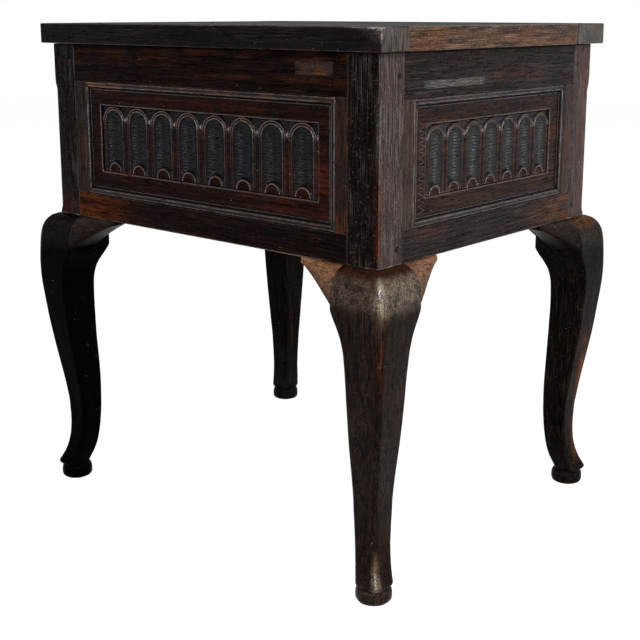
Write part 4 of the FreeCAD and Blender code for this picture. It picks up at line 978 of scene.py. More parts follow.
@dataclass
class Bay:
    """One round-headed flute of a carved row, with its rims, its lobe and half a rib each side."""

    pitch: float
    height: float
    half: float
    seed: int
    depth: float = 5.6
    rise: float = 0.9
    head_gap: float = 5.0
    rim: float = 2.3
    line: float = 0.9
    lobe: float = 0.80
    ripple: float = 3.5
    ripple_depth: float = 0.17
    back = 9.0

    def heights(self, x: np.ndarray, z: np.ndarray) -> tuple[np.ndarray, np.ndarray, np.ndarray]:
        """How deep the carver has cut.

        Args:
            x: Distance from the bay's middle.
            z: Height above the foot of the field.

        Returns:
            The depth below the field, how dark with dirt and painted shade it is, and how rubbed, which also
            paints in highlights.
        """
        spring = self.height - self.head_gap - self.half * self.rise
        upper = np.where(z > spring, (z - spring) / self.rise, 0)
        inside = self.half - np.hypot(x, upper)
        outside = -inside
        bands = self.rim * 2 + self.line * 1.1
        radius = self.half * self.lobe
        from_lobe = np.hypot(x, np.maximum(z - 0.4, 0)) - radius
        bowl = 1 - np.clip(inside / self.half, 0, 1)
        flute = self.depth * (0.16 + 0.84 * (1 - bowl ** 2.0)) * smooth(0, 2.2, from_lobe)
        # the chisel's ripples across the flute, each a shallow arc
        wander = 0.8 * np.sin(x * 0.3 + z * 0.05)
        ripple = np.sin((z - 1.2 * bowl ** 2 + wander) * 2 * math.pi / self.ripple)
        ripple_share = smooth(0.5, 2.5, inside) * smooth(0.6, 3.0, from_lobe)
        flute = flute - self.ripple_depth * ripple * ripple_share
        lobe_cut = 0.5 + 1.1 * smooth(0, radius, -from_lobe)
        lobe_rim = np.exp(-((from_lobe + 1.0) / 0.8) ** 2)
        cut = np.where(from_lobe > 0, flute, lobe_cut - 0.9 * lobe_rim)
        ridge_one = np.exp(-((outside - self.rim * 0.5) / (self.rim * 0.42)) ** 2)
        first_line = np.exp(-((outside - self.rim - self.line * 0.4) / (self.line * 0.7)) ** 2)
        ridge_two = np.exp(-((outside - self.rim * 1.5 - self.line) / (self.rim * 0.45)) ** 2)
        groove = smooth(bands, bands + 1.6, outside)
        band = 0.5 - 1.0 * ridge_one + 1.1 * first_line - 0.9 * ridge_two + 1.4 * groove
        above = smooth(spring, spring + self.half * 0.6, z) * groove
        gouge = np.sin(x * 2.1 + z * 1.3 * np.sign(x) + self.seed) * 0.35 + np.sin(z * 1.9) * 0.2
        band = band + above * (0.6 + gouge)
        in_flute = smooth(-0.25, 0.45, inside)
        depth = band * (1 - in_flute) + cut * in_flute
        # the flute, the incised line and the groove are darkened: dirt in the hollows and painted shade
        # there
        sunk = in_flute * smooth(0.0, 1.5, from_lobe) + (1 - in_flute) * (first_line * 0.8 + groove * 0.9)
        # the ripples' crests, the rims and the lobes' rims count as rubbed, which paints them pale: wear,
        # and painted highlights and sheen on them as well
        crest = np.clip(ripple - 0.3, 0, 1) * ripple_share * 0.55
        arch = 0.5 + 0.5 * smooth(spring - 6, spring + 6, z)
        worn = (1 - in_flute) * np.maximum(ridge_one, ridge_two * 0.8) * arch
        worn += in_flute * np.maximum(lobe_rim, crest)
        # the proud point where two arches meet, rubbed pale: wear, and a painted highlight there as well
        point = np.exp(-((np.abs(x) - self.pitch / 2) / 2.4) ** 2 - ((z - spring - 3) / 4.5) ** 2)
        depth -= 1.3 * point
        worn = np.maximum(worn, point)
        sunk = sunk * (1 - point)
        depth = depth * (1 - smooth(2.2, 0.0, z) * 0.75)
        return depth, np.clip(sunk, 0, 1), np.clip(worn, 0, 1)

    def shell(self) -> Shell:
        """Carve the bay as a closed block.

        Returns:
            Its shell: x along the row, y into the wood from the field's face, z up from its foot.
        """
        across = np.linspace(-self.pitch / 2, self.pitch / 2, int(self.pitch / 0.8) + 1)
        up = np.linspace(0, self.height, int(self.height / 0.62) + 1)
        x, z = np.meshgrid(across, up)
        depth, sunk, worn = self.heights(x, z)
        columns, rows = len(across), len(up)
        points = np.stack([x, depth, z], axis=-1).reshape(-1, 3)
        faces = [(r * columns + c, r * columns + c + 1, (r + 1) * columns + c + 1, (r + 1) * columns + c)
                 for r in range(rows - 1) for c in range(columns - 1)]
        border = list(range(columns))
        border += [r * columns + columns - 1 for r in range(1, rows)]
        border += [(rows - 1) * columns + c for c in range(columns - 2, -1, -1)]
        border += [r * columns for r in range(rows - 2, 0, -1)]
        back = points[border].copy()
        back[:, 1] = self.back
        start, count = len(points), len(border)
        centre = start + count
        faces += [(border[(i + 1) % count], border[i], start + i, start + (i + 1) % count)
                  for i in range(count)]
        faces += [(start + (i + 1) % count, start + i, centre) for i in range(count)]
        points = np.vstack([points, back, [[0.0, self.back, self.height / 2]]])
        shell = Shell.plain(points, faces, self.seed)
        shell.sunk[:start], shell.worn[:start] = sunk.ravel(), worn.ravel()
        return shell


def frame_strip(half: float, low: float, high: float, section: list[tuple[float, float, float, float]],
                side: int, seed: int) -> Shell:
    """A mitred strip along one side of an upright oblong.

    Args:
        half: Half the oblong's width.
        low: Its lower edge.
        high: Its upper edge.
        section: Points as distance in from the edge, depth, wear with painted highlights, and dirt with
            painted shade, in order round it.
        side: 0 foot, 1 right, 2 head, 3 left.
        seed: Which pattern its unevenness takes.

    Returns:
        The strip as a closed shell; its face is towards -y.
    """
    long_half = half if side % 2 == 0 else (high - low) / 2
    middle = (low + high) / 2
    count = max(int(long_half / 2.5), 4)
    sign = 1 if side < 2 else -1
    rings = np.zeros((count + 1, len(section), 3))
    for i, share in enumerate(np.linspace(-1, 1, count + 1)):
        for j, (inwards, depth, _, _) in enumerate(section):
            run = share * (long_half - inwards - 0.1)
            if side % 2 == 0:
                rings[i, j] = (run * sign, depth, low + inwards if side == 0 else high - inwards)
            else:
                rings[i, j] = ((half - inwards) * sign, depth, middle + run * sign)
    points = rings.reshape(-1, 3)
    shell = Shell.plain(points, skin(rings), seed)
    shell.worn = np.tile([s[2] for s in section], count + 1)
    shell.sunk = np.tile([s[3] for s in section], count + 1)
    shell.points[:, 1] += np.clip(lumps(points, 14.0, seed), 0, 1) * 0.35 * (shell.points[:, 1] < 4.9)
    shell.flat = {len(shell.faces) - 2, len(shell.faces) - 1}
    return shell.outward()


# points of a section: how far in from the edge, how deep, how rubbed, which also paints highlights on the
# beads, and how dark with dirt, which also paints the shade in the quirks
MOULDING_SECTION = [
    (0.1, 5.2, 0.0, 0.8), (0.1, 2.6, 0.2, 0.8), (0.5, 1.7, 0.7, 0.1), (1.3, 1.15, 0.9, 0.0),
    (2.6, 1.0, 0.4, 0.0), (4.2, 1.05, 0.4, 0.0), (5.6, 1.35, 0.9, 0.0), (6.6, 2.0, 0.7, 0.0),
    (7.3, 3.0, 0.2, 0.5), (7.6, 4.4, 0.0, 1.0), (8.2, 4.9, 0.0, 1.0), (8.8, 4.3, 0.3, 0.7),
    (9.4, 3.8, 0.8, 0.0), (10.1, 4.0, 0.7, 0.0), (10.4, 5.2, 0.0, 0.9),
]
MARGIN_ROUND = [(0.0, 1.9, 0.2, 0.9), (0.15, 0.9, 0.4, 0.4), (0.5, 0.3, 0.7, 0.0), (1.2, 0.05, 0.5, 0.0),
                (2.4, 0.0, 0.1, 0.0)]


FRONT = Face("front", 0, half_length=264.0, half_depth=216.0, flutes=8, field_half=178.5, top_rail=45.5,
             bottom_rail=32.0, stile=17.0)
RIGHT = Face("right", 1, half_length=216.0, half_depth=264.0, flutes=7, field_half=127.5, top_rail=48.0,
             bottom_rail=34.5, stile=18.5, rib=10.5)


@dataclass
class Case:
    """The framed box: posts, rails, stiles, carved panels, mouldings, patches, pegs and floor."""

    bottom = 366.0
    top = 584.5
    post = 41.0
    rail = 22.0
    half_width = 264.0
    half_depth = 216.0
    chamfer: float = 4.2
    chamfer_stop: float = 46.0
    field_drop: float = 6.6
    panel_face: float = 5.0
    panel_back: float = 16.0
    margin_top: float = 29.5
    margin_bottom: float = 30.5
    margin_run: float = 29.0
    tongue: float = 5.5
    tenon: float = 24.0
    tenon_depths: tuple[float, float] = (7.0, 15.0)
    shoulder: float = 6.0
    peg_inset: float = 9.0
    nick_pitch: float = 3.7
    faces: tuple[Face, ...] = (FRONT, RIGHT, replace(FRONT, name="back", quarter=2, flutes=0),
                               replace(RIGHT, name="left", quarter=3))

    def posts(self) -> None:
        """Build the four corner posts, each with its stopped chamfer."""
        for quarter, (corner, (side_x, side_y)) in enumerate(CORNERS.items()):
            shell = timber((-self.post, 0, self.bottom), (0, self.post, self.top), Grain.Z,
                           soft=1.3, wave=0.15, wear=0.6, seed=11 + quarter)
            x, y, z = shell.points.T
            near = np.minimum(-x, y) < 6
            stop = self.top - self.chamfer_stop
            deep = self.chamfer * smooth(stop, stop - 8, z) * smooth(self.bottom, self.bottom + 9, z)
            push = np.clip(deep - (y - x), 0, None) / 2
            x[near] -= push[near]
            y[near] += push[near]
            # dark red wood where the chamfer has lost its wax, and above it a pale arris, rubbed and also a
            # painted highlight along the corner
            low_part = smooth(self.top - 90, self.top - 150, z)
            shell.bare = np.where(push > 0.3, 0.75 * low_part, 0.0)
            shell.worn = np.where(push > 0.3, 0.6 - 0.45 * low_part, shell.worn)
            shell.worn = np.maximum(shell.worn, smooth(self.bottom + 2.4, self.bottom + 1.2, z))
            if corner == "back_right":
                shell.bare = 0.9 * smooth(12, 30, x + self.post)
            if corner == "front_left":
                shell.bare = np.maximum(shell.bare, 0.8 * smooth(self.bottom + 40, self.bottom + 5, z))
            shell.turned(quarter).moved(side_x * self.half_width, side_y * self.half_depth, 0)
            # the faces towards +x take the paler finish: painted light of the lit side
            shell.kinds = {index: 1 for index, face in enumerate(shell.faces)
                           if shell.points[list(face), 0].min() > self.half_width - 1.9}
            show(f"{corner}_corner_post", f"post_{corner}", shell, "case_oak",
                 POST_OAK.material(Grain.Z), POST_SIDE_OAK.material(Grain.Z))

    def rails(self, face: Face, seed: int) -> None:
        """Build the rails and stiles of one face.

        Args:
            face: The face.
            seed: Which pattern their unevenness takes.
        """
        clear = face.half_length - self.post
        for name, low, high in (("top", face.opening_high, self.top),
                                ("bottom", self.bottom, face.opening_low)):
            shell = timber((-clear + 0.05, 0.25, low), (clear - 0.05, self.rail, high), Grain.X,
                           soft=1.0, wave=0.2, wear=0.5, seed=seed)
            # a rubbed, warmer stretch on the lower rail beside the left post
            if name == "bottom":
                end = -1 if face.name == "front" else 1
                shell.bare = smooth(clear - 130, clear - 20, end * shell.points[:, 0])
                shell.worn = np.maximum(shell.worn, smooth(self.bottom + 2.2, self.bottom + 1.0,
                                                           shell.points[:, 2]))
            ends = [timber((start, self.tenon_depths[0], low + self.shoulder),
                           (stop, self.tenon_depths[1], high - self.shoulder), Grain.X,
                           soft=0.4, wave=0, wear=0, seed=seed)
                    for start, stop in ((-clear - self.tenon, -clear + 0.5),
                                        (clear - 0.5, clear + self.tenon))]
            node = f"{face.name}_{name}_rail"
            show(f"{node}_timber", node, face.placed(Shell.joined([shell, *ends])), "case_oak",
                 (SIDE_OAK if face.pale else CASE_OAK).material(face.grain))
            seed += 1
        stiles = [timber((start, 0.5, face.opening_low + 0.1), (stop, self.rail, face.opening_high - 0.1),
                         Grain.Z, soft=0.9, wave=0.2, wear=0.5, seed=seed + 20 + sign)
                  for sign, start, stop in ((-1, -clear + 0.1, -clear + face.stile),
                                            (1, clear - face.stile, clear - 0.1))]
        show(f"{face.name}_pair_of_stiles", f"{face.name}_stiles", face.placed(Shell.joined(stiles)),
             "stile_oak", (STILE_SIDE_OAK if face.pale else STILE_OAK).material(Grain.Z))

    def panel(self, face: Face, tree: Tree, seed: int) -> None:
        """Build one panel: a carved row in a sunk field, or a plain board at the back.

        Args:
            face: The face it stands in.
            tree: The tree that sets the bays in a row.
            seed: Which pattern its unevenness takes.
        """
        half = face.opening_half + self.tongue
        low, high = face.opening_low - self.tongue, face.opening_high + self.tongue
        node = f"{face.name}_panel"
        finish = (CARVED_SIDE_OAK if face.pale else CARVED_OAK).material(face.grain)
        if not face.flutes:
            shell = timber((-half, self.panel_face, low), (half, self.panel_back, high), Grain.X,
                           soft=0.6, wave=0.5, wear=0.2, seed=seed)
            show("back_plain_panel", node, face.placed(shell), "carved_oak", finish)
            return
        field_low = face.opening_low + self.margin_bottom
        field_high = face.opening_high - self.margin_top
        pitch = face.field_half * 2 / face.flutes
        bay = Bay(pitch, field_high - field_low, (pitch - face.rib) / 2, seed, rim=face.rib * 0.15,
                  line=face.rib * 0.06)
        row = grown(f"{node}_row", mesh_of(f"{node}_bay", bay.shell()), tree, {
            "Count": face.flutes, "Pitch": pitch * MM, "Material": finish})
        carved = np.empty(len(row.vertices) * 3)
        row.vertices.foreach_get("co", carved)
        carved = carved.reshape(-1, 3) / MM
        carved += np.array([-face.field_half + pitch / 2, 0, field_low])
        # no two bays are alike: the cuts wander a little
        front = carved[:, 1] < Bay.back - 0.1
        carved[:, 0] += np.where(front, 0.45 * lumps(carved, 16.0, seed + 1), 0)
        carved[:, 2] += np.where(front, 0.40 * lumps(carved, 18.0, seed + 2), 0)
        carved[:, 1] += np.where(front, 0.30 * lumps(carved, 12.0, seed + 3)
                                 + 0.10 * lumps(carved, 2.6, seed + 4), 0)
        carved[:, 1] += self.field_drop
        shell = Shell.plain(carved, [tuple(p.vertices) for p in row.polygons], seed)
        behind = Bay.back - 0.1 + self.field_drop
        shell.flat = {index for index, side in enumerate(shell.faces)
                      if carved[list(side), 1].min() > behind}
        for key, target in (("worn", shell.worn), ("sunk", shell.sunk)):
            row.attributes[key].data.foreach_get("value", values := np.empty(len(target), np.float32))
            target[:] = values
        margin = self.margin((half, low, high),
                             (face.field_half + 0.4, field_low - 0.4, field_high + 0.4), seed)
        show(f"{face.name}_carved_panel", node, face.placed(Shell.joined([shell, margin])), "carved_oak",
             finish)

    def margin(self, panel: Triple, sunk: Triple, seed: int) -> Shell:
        """The flat margin of a panel, in one piece round its sunk field.

        Args:
            panel: Half the panel's width, its lower edge and its upper one.
            sunk: The same of the field.
            seed: Which pattern its unevenness takes.

        Returns:
            The margin as a closed shell.
        """
        run = self.margin_run
        # the section darkens the margin's outer edge and the foot of its step into the field, dirt with
        # painted shade, and rubs the step's round pale, wear with a painted highlight
        section = [(0.0, 11.0, 0.0, 0.0), (0.0, 0.0, 0.0, 0.6)]
        section += [(16.0 + k * (run - 18.4) / 5, 0.0, 0.1, 0.0) for k in range(5)]
        section += [(run - i, d, w, g) for i, d, w, g in reversed(MARGIN_ROUND)]
        section += [(run, 11.0, 0.0, 0.0)]
        outer, inner = [np.array([(-half, low), (half, low), (half, high), (-half, high)])
                        for half, low, high in (panel, sunk)]
        rings = []
        for side in range(4):
            there = (side + 1) % 4
            count = int(np.hypot(*(outer[there] - outer[side])) / 4)
            for share in np.arange(count) / count:
                edge = outer[side] + (outer[there] - outer[side]) * share
                core = inner[side] + (inner[there] - inner[side]) * share
                rings.append([(*(edge + (core - edge) * inwards / run), depth)
                              for inwards, depth, _, _ in section])
        rings = np.array(rings)[:, :, [0, 2, 1]]
        rings[:, :, 1] += self.panel_face
        points = rings.reshape(-1, 3)
        shell = Shell.plain(points, skin(rings, closed_path=True), seed)
        shell.worn = np.tile([s[2] for s in section], len(rings))
        shell.sunk = np.tile([s[3] for s in section], len(rings))
        shell.points[:, 1] += 0.35 * lumps(points, 22.0, 5) * (points[:, 1] < self.panel_face + 2.5)
        return shell.outward()

    def hatching(self, tree: Tree, face: Face) -> None:
        """Cut the ladder of slanting nicks beside the first flute of a carved panel.

        Args:
            tree: The tree that sets a burr at every nick.
            face: The face it stands in.
        """
        low, high = face.opening_low + 13, face.opening_high - self.margin_top + 4
        count = int((high - low) / self.nick_pitch)
        left = -(face.opening_half + face.field_half - 10.5) / 2
        points = [face.point(left + 1.2 * math.sin(i * 2.4), self.panel_face - 0.02,
                             low + (high - low) * (i + 0.5) / count) for i in range(count)]
        finish = BURR_OAK.material(Grain.Z)
        across = (0.0, 0.0, face.quarter * math.pi / 2)
        mesh = grown(f"{face.name}_hatching", points_mesh("nick_places", points), tree, {
            "Length": 14.0 * MM, "Width": 1.0 * MM, "Height": 0.9 * MM, "Slant": 0.30, "Turn": across,
            "Seed": 5, "Material": finish})
        piece_from(f"{face.name}_hatched_border", mesh, ROOT, (), (finish,))

    def moulding(self, face: Face, seed: int) -> None:
        """Build the four mitred strips round one panel.

        Args:
            face: The face.
            seed: Which pattern their unevenness takes.
        """
        strips = [frame_strip(face.opening_half, face.opening_low, face.opening_high, MOULDING_SECTION,
                              side, seed + side).of_kind(side % 2) for side in range(4)]
        finish = MOULDING_SIDE_OAK if face.pale else MOULDING_OAK
        show(f"{face.name}_mitred_moulding", f"{face.name}_moulding", face.placed(Shell.joined(strips)),
             "moulding_oak", finish.material(face.grain), finish.material(Grain.Z))

    def patches(self) -> None:
        """Build the two let-in repairs, a hair below the rails they mend."""
        for node, face, finish in (("front_patch", self.faces[0], PATCH_OAK),
                                   ("right_patch", self.faces[1], PATCH_SIDE_OAK)):
            low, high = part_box(node)
            shell = timber(tuple(v / MM + 0.15 for v in low), tuple(v / MM - 0.15 for v in high),
                           face.grain, soft=0.4, wave=0.1, wear=0.2, seed=61)
            middle = (shell.points.max(axis=0) + shell.points.min(axis=0)) / 2
            half = np.ptp(shell.points, axis=0) / 2
            rim = (half - np.abs(shell.points - middle))[:, [face.quarter % 2, 2]].min(axis=1)
            shell.worn = np.full(len(rim), 0.45)
            shell.sunk = np.where(rim < 1.0, 1.0, 0.0)
            show(f"{node}_let_in", node, shell, "patch_oak", finish.material(face.grain))

    def pegs(self, tree: Tree) -> None:
        """Set two pegs in every joint of a rail and a post.

        Args:
            tree: The tree of pegs and nails.
        """
        pegs = Pegs(radius=3.45, length=17.0, head_height=0.45, dome=0.3, tilt=0.02)
        for face in self.faces:
            inward = face.half_length - self.post + self.peg_inset
            out = tuple(Vector(face.point(0, -1, 0)) - Vector(face.point(0, 0, 0)))
            levels = (self.top - face.top_rail / 2, self.bottom + face.bottom_rail / 2)
            for level, sign in itertools.product(levels, (-1, 1)):
                pegs.at(face.point(sign * inward, 0.15, level), out)
        pegs.show("case_joint_pegs", "case_pegs", tree, 3, ROOT)

    def floor(self) -> None:
        """Build the floor's bearers and boards from the room their CAD nodes take."""
        for number, name in enumerate(("bearer_front", "bearer_back", "board_left", "board_middle",
                                       "board_right")):
            node = f"floor_{name}"
            low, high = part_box(node)
            size = high - low
            grain = Grain.X if size.x > size.y else Grain.Y
            shell = timber(tuple(v / MM + 0.05 for v in low), tuple(v / MM - 0.05 for v in high), grain,
                           soft=0.8, wave=0.25, wear=0.4, seed=81 + number)
            show(f"{node}_timber", node, shell, "floor_oak", FLOOR_OAK.material(grain))


# the leg from its top down: the height as a share, how far out its outer corner stands and how far
# in its inner corner lies, and how round those two are, each as a share of the leg's own measure
KNEE_ROWS = (
    (1.000, 0.120, 1.000, 0.30, 0.12), (0.994, 0.340, 1.000, 0.45, 0.12), (0.983, 0.530, 1.000, 0.65, 0.12),
    (0.967, 0.715, 1.000, 1.00, 0.12), (0.944, 0.860, 1.000, 1.35, 0.12), (0.914, 0.950, 1.000, 1.70, 0.12),
    (0.882, 0.992, 1.000, 1.85, 0.12), (0.855, 1.000, 0.932, 1.75, 0.25), (0.823, 0.992, 0.812, 1.50, 0.40),
    (0.788, 0.970, 0.716, 1.25, 0.52), (0.738, 0.918, 0.664, 1.00, 0.60), (0.667, 0.820, 0.655, 0.95, 0.62),
    (0.581, 0.695, 0.668, 0.90, 0.62), (0.495, 0.535, 0.686, 0.85, 0.62), (0.409, 0.350, 0.706, 0.80, 0.62),
    (0.323, 0.172, 0.720, 0.75, 0.62), (0.252, 0.068, 0.714, 0.72, 0.62), (0.186, 0.048, 0.690, 0.72, 0.64),
    (0.128, 0.095, 0.650, 0.78, 0.70), (0.085, 0.210, 0.602, 0.90, 0.82), (0.054, 0.350, 0.550, 1.10, 1.00),
    (0.028, 0.520, 0.490, 1.30, 1.25), (0.009, 0.640, 0.448, 1.45, 1.45), (0.000, 0.540, 0.430, 1.40, 1.40),
)


def through(shares: np.ndarray, column: int) -> np.ndarray:
    """Follow one column of the leg's table smoothly.

    Args:
        shares: Heights as shares, any order.
        column: Which column of the table.

    Returns:
        The column's value at each height, with no overshoot between its rows.
    """
    rows = np.array(KNEE_ROWS[::-1])
    at, value = rows[:, 0], rows[:, column]
    steps = np.diff(value) / np.diff(at)
    slope = np.zeros(len(at))
    for i in range(1, len(at) - 1):
        if steps[i - 1] * steps[i] > 0:
            slope[i] = 2 * steps[i - 1] * steps[i] / (steps[i - 1] + steps[i])
    slope[0], slope[-1] = steps[0], steps[-1]
    where = np.clip(np.searchsorted(at, shares, side="right") - 1, 0, len(at) - 2)
    width = at[where + 1] - at[where]
    t = (shares - at[where]) / width
    return ((2 * t ** 3 - 3 * t ** 2 + 1) * value[where] + (t ** 3 - 2 * t ** 2 + t) * width * slope[where]
            + (3 * t ** 2 - 2 * t ** 3) * value[where + 1] + (t ** 3 - t ** 2) * width * slope[where + 1])


def on_arc(arc: Triple, angle: float) -> tuple[float, float]:
    """Find a point of an arc.

    Args:
        arc: Its centre's two places and its radius.
        angle: The point's angle.

    Returns:
        The point's two places.
    """
    return arc[0] + math.cos(angle) * arc[2], arc[1] + math.sin(angle) * arc[2]


@dataclass
class Leg:
    """A cabriole leg with its knee, ankle, toe and turned pad, and the two ears beside the knee."""

    corner: str
    quarter: int
    x: float
    y: float
    ears: tuple[str, str]
    top: float = 366.0
    toe: float = 17.2
    reach: float = 24.6
    block: float = 44.0
    corner_round: float = 7.0
    pad_radius: float = 20.4
    pad_height: float = 18.5
    pad_set_in: float = 4.35
    ear_end: float = 104.0
    ear_drop: float = 40.0
    ear_tip: float = 6.0
    ear_tip_reach: float = 2.4
    ear_radius: float = 300.0
    ear_back: float = 22.0
    tenon_centre: float = 15.5
    tenon_half: float = 6.0
    tenon_rise: float = 39.0

    @property
    def seed(self) -> int:
        """What tells this leg's grain from the others'."""
        return 31 + self.quarter

    def shaft(self) -> Shell:
        """Shape the leg from the knee to the toe.

        Returns:
            Its closed shell, with the post's outer corner at the origin.
        """
        shares = np.concatenate([np.linspace(1, 0.84, 22), np.linspace(0.83, 0.16, 60),
                                 np.linspace(0.152, 0, 30)])
        outer, inner = through(shares, 1) * self.reach, through(shares, 2) * self.block
        rounds = [through(shares, column) * self.corner_round for column in (3, 4)]
        rings, worn = [], []
        for level, high, low, ridge, soft in zip(shares, outer, inner, *rounds):
            ring, rub = [], []
            sizes = ((high, high, ridge), (high, low, soft), (low, low, soft), (low, high, soft))
            arcs = [(sign_x * (x - radius), sign_y * (y - radius), radius)
                    for (sign_x, sign_y), (x, y, radius) in zip(CORNERS.values(), sizes)]
            for number, arc in enumerate(arcs):
                for share in np.linspace(0, 1, 6 if number else 9):
                    angle = (number - 1 + share) * math.pi / 2
                    ring.append(on_arc(arc, angle))
                    rub.append((0.55 if number else 1) * (1 - abs(share - 0.5) * 1.2))
                here, there = on_arc(arc, angle), on_arc(arcs[(number + 1) % 4], angle)
                for spot in (0.06, 0.25, 0.5, 0.75, 0.94):
                    ring.append([(1 - spot) * a + spot * b for a, b in zip(here, there)])
                    rub.append(0.12)
            rings.append([(*place, self.toe + (self.top - 0.1 - self.toe) * level) for place in ring])
            worn.append(rub)
        rings = np.array(rings)[::-1]
        worn = np.array(worn)[::-1].ravel()
        points = rings.reshape(-1, 3)
        shell = Shell.plain(points, skin(rings), self.seed)
        x, y, z = points.T
        share = (z - self.toe) / (self.top - self.toe)
        # the knee counts as rubbed, most along its ridge: wear, and the grey sheen and highlights on the
        # knee painted in as well
        knee = smooth(0.82, 0.93, share) * smooth(1.0, 0.97, share) * (0.62 + 0.38 * smooth(-6, 4, x + y))
        foot = smooth(0.16, 0.03, share)
        ridge = smooth(7.0, 1.0, np.abs(x + y)) * (x > 0)
        shell.worn = np.clip(worn * (0.16 + 0.5 * foot) + knee * (0.55 + 0.35 * ridge), 0, 1)
        shell.bare = 0.7 * smooth(0.955, 0.99, share) * np.where(x - y < outer.max(), 1, 0.4)
        if self.corner == "front_right":
            shell.bare += 0.8 * ridge * smooth(0.62, 0.74, share) * smooth(0.84, 0.78, share)
            shell.bare += 0.8 * (y < 2) * (x > 2) * smooth(0.34, 0.22, share) * smooth(0.03, 0.08, share)
        if self.corner == "back_right":
            streak = np.exp(-((x - y - 8) / 12) ** 2) * (y < 2)
            shell.bare += smooth(0.62, 0.40, share) * smooth(0.02, 0.10, share) * streak
        way = points - np.repeat(rings.mean(axis=1), rings.shape[1], axis=0)
        way[:, 2] = 0
        way /= np.linalg.norm(way, axis=1)[:, None]
        flats = smooth(0.0, 0.06, 1 - share)
        waves = (lumps(points, (16.0, 16.0, 45.0), self.seed) + 1) * 0.35 * flats
        chips = np.clip(lumps(points, 5.0, self.seed + 2) - 0.25, 0, 1) * foot * 0.7
        shell.points -= way * (waves + chips)[:, None]
        return shell

    def pad(self) -> Shell:
        """Turn the pad under the toe.

        Returns:
            Its closed shell.
        """
        radius, height = self.pad_radius, self.pad_height
        outline = [(radius - 5.0, 0.0), (radius - 3.2, 0.25), (radius - 1.6, 1.2), (radius - 0.5, 2.9),
                   (radius, 5.2), (radius, 8.5), (radius - 0.15, 11.5), (radius - 0.7, 13.8),
                   (radius - 1.7, 15.8), (radius - 3.0, 17.3), (radius - 4.5, height)]
        around = 48
        angles = np.arange(around) * 2 * math.pi / around
        rings = np.array([[(math.cos(a) * r - self.pad_set_in, math.sin(a) * r + self.pad_set_in, z)
                           for a in angles] for r, z in outline])
        shell = Shell.plain(rings.reshape(-1, 3), skin(rings), self.seed)
        out = shell.points - np.array([-self.pad_set_in, self.pad_set_in, 0])
        out[:, 2] = 0
        out /= np.linalg.norm(out, axis=1)[:, None]
        shell.points -= out * ((lumps(shell.points, 9.0, self.seed + 5) + 1) * 0.3)[:, None]
        shell.worn[:] = 0.25
        # darker towards its top, under the toe
        shell.sunk = smooth(14.5, 18.0, shell.points[:, 2]) * 0.8
        shell.ends[:around] = 1
        return shell

    def ear(self, first: bool) -> Shell:
        """Carve one ear: the knee's curve dying out along the rail.

        Args:
            first: Whether it lies along the side that the leg's x axis follows.

        Returns:
            Its closed shell.
        """
        start, count, up, top = self.block + 0.05, 34, 16, self.top - 0.1
        chord = np.array([self.ear_end - start, self.ear_drop - self.ear_tip])
        length = float(np.hypot(*chord))
        bulge = self.ear_radius - math.sqrt(self.ear_radius ** 2 - length ** 2 / 4)
        rings, worn = [], []
        for share in np.linspace(0, 1, count):
            along = start + chord[0] * share
            away = (share - 0.5) * length
            rise = math.sqrt(self.ear_radius ** 2 - away ** 2) - (self.ear_radius - bulge)
            drop = self.ear_drop - chord[1] * share - rise * chord[0] / length
            reach = self.reach + (self.ear_tip_reach - self.reach) * share
            ring, rub = [], []
            levels = np.linspace(0, 1, up)
            heights = (top - drop * levels - self.toe) / (self.top - self.toe)
            fronts = through(np.clip(heights, 0, 1), 1) * reach
            soft = min(2.2, drop * 0.35, (fronts[-1] + 2) * 0.4)
            for level, front in zip(levels, fronts):
                left = drop - drop * level
                eased = soft - math.sqrt(max(soft ** 2 - (soft - left) ** 2, 0)) if left < soft else 0.0
                ring.append((-along, -(front - eased), top - drop * level))
                rub.append(0.35 + 0.5 * (1 - level))
            behind = ((self.ear_back * 0.35, top - drop), (self.ear_back - 0.6, top - drop),
                      (self.ear_back, top - drop + 0.6), (self.ear_back, top), (self.ear_back * 0.4, top))
            rings.append(ring + [(-along, y, z) for y, z in behind])
            worn.append(rub + [0.2, 0.2, 0.0, 0.0, 0.0])
        rings = np.array(rings)
        shell = Shell.plain(rings.reshape(-1, 3), skin(rings), self.seed + (5 if first else 9))
        shell.worn = np.array(worn).ravel()
        near = smooth(start + 1.6, start, -shell.points[:, 0])
        # darker where it meets the leg
        shell.sunk = near * 0.9
        shell.bare = smooth(self.top - 34, self.top - 8, shell.points[:, 2]) * (shell.points[:, 1] < 2)
        front = shell.points[:, 1] < 0
        shell.points[front, 1] += (near * 0.5 + (lumps(shell.points, 12.0, self.seed) + 1) * 0.25)[front]
        if not first:
            # the other ear is the mirror image, across the leg's diagonal
            shell.points = np.stack([-shell.points[:, 1], -shell.points[:, 0], shell.points[:, 2]], axis=1)
        return shell.outward()

    def build(self) -> None:
        """Make the leg and both ears, and set them under their post."""
        middle, half = self.tenon_centre, self.tenon_half
        tenon = timber((-middle - half, middle - half, self.top - 0.5),
                       (-middle + half, middle + half, self.top + self.tenon_rise), Grain.Z,
                       soft=3.0, wave=0, wear=0, seed=self.seed)
        whole = Shell.joined([self.shaft(), self.pad(), tenon]).turned(self.quarter)
        leg_finish, ear_finish = LEG_FINISHES[self.corner]
        show(f"{self.corner}_cabriole_leg", f"leg_{self.corner}", whole.moved(self.x, self.y, 0), "leg_oak",
             leg_finish.material(Grain.Z))
        for side, first in zip(self.ears, (True, False)):
            shell = self.ear(first).turned(self.quarter).moved(self.x, self.y, 0)
            show(f"{self.corner}_{side}_knee_ear", f"ear_{self.corner}_{side}", shell, "ear_oak",
                 ear_finish.material(Grain.Y if side in ("left", "right") else Grain.X))


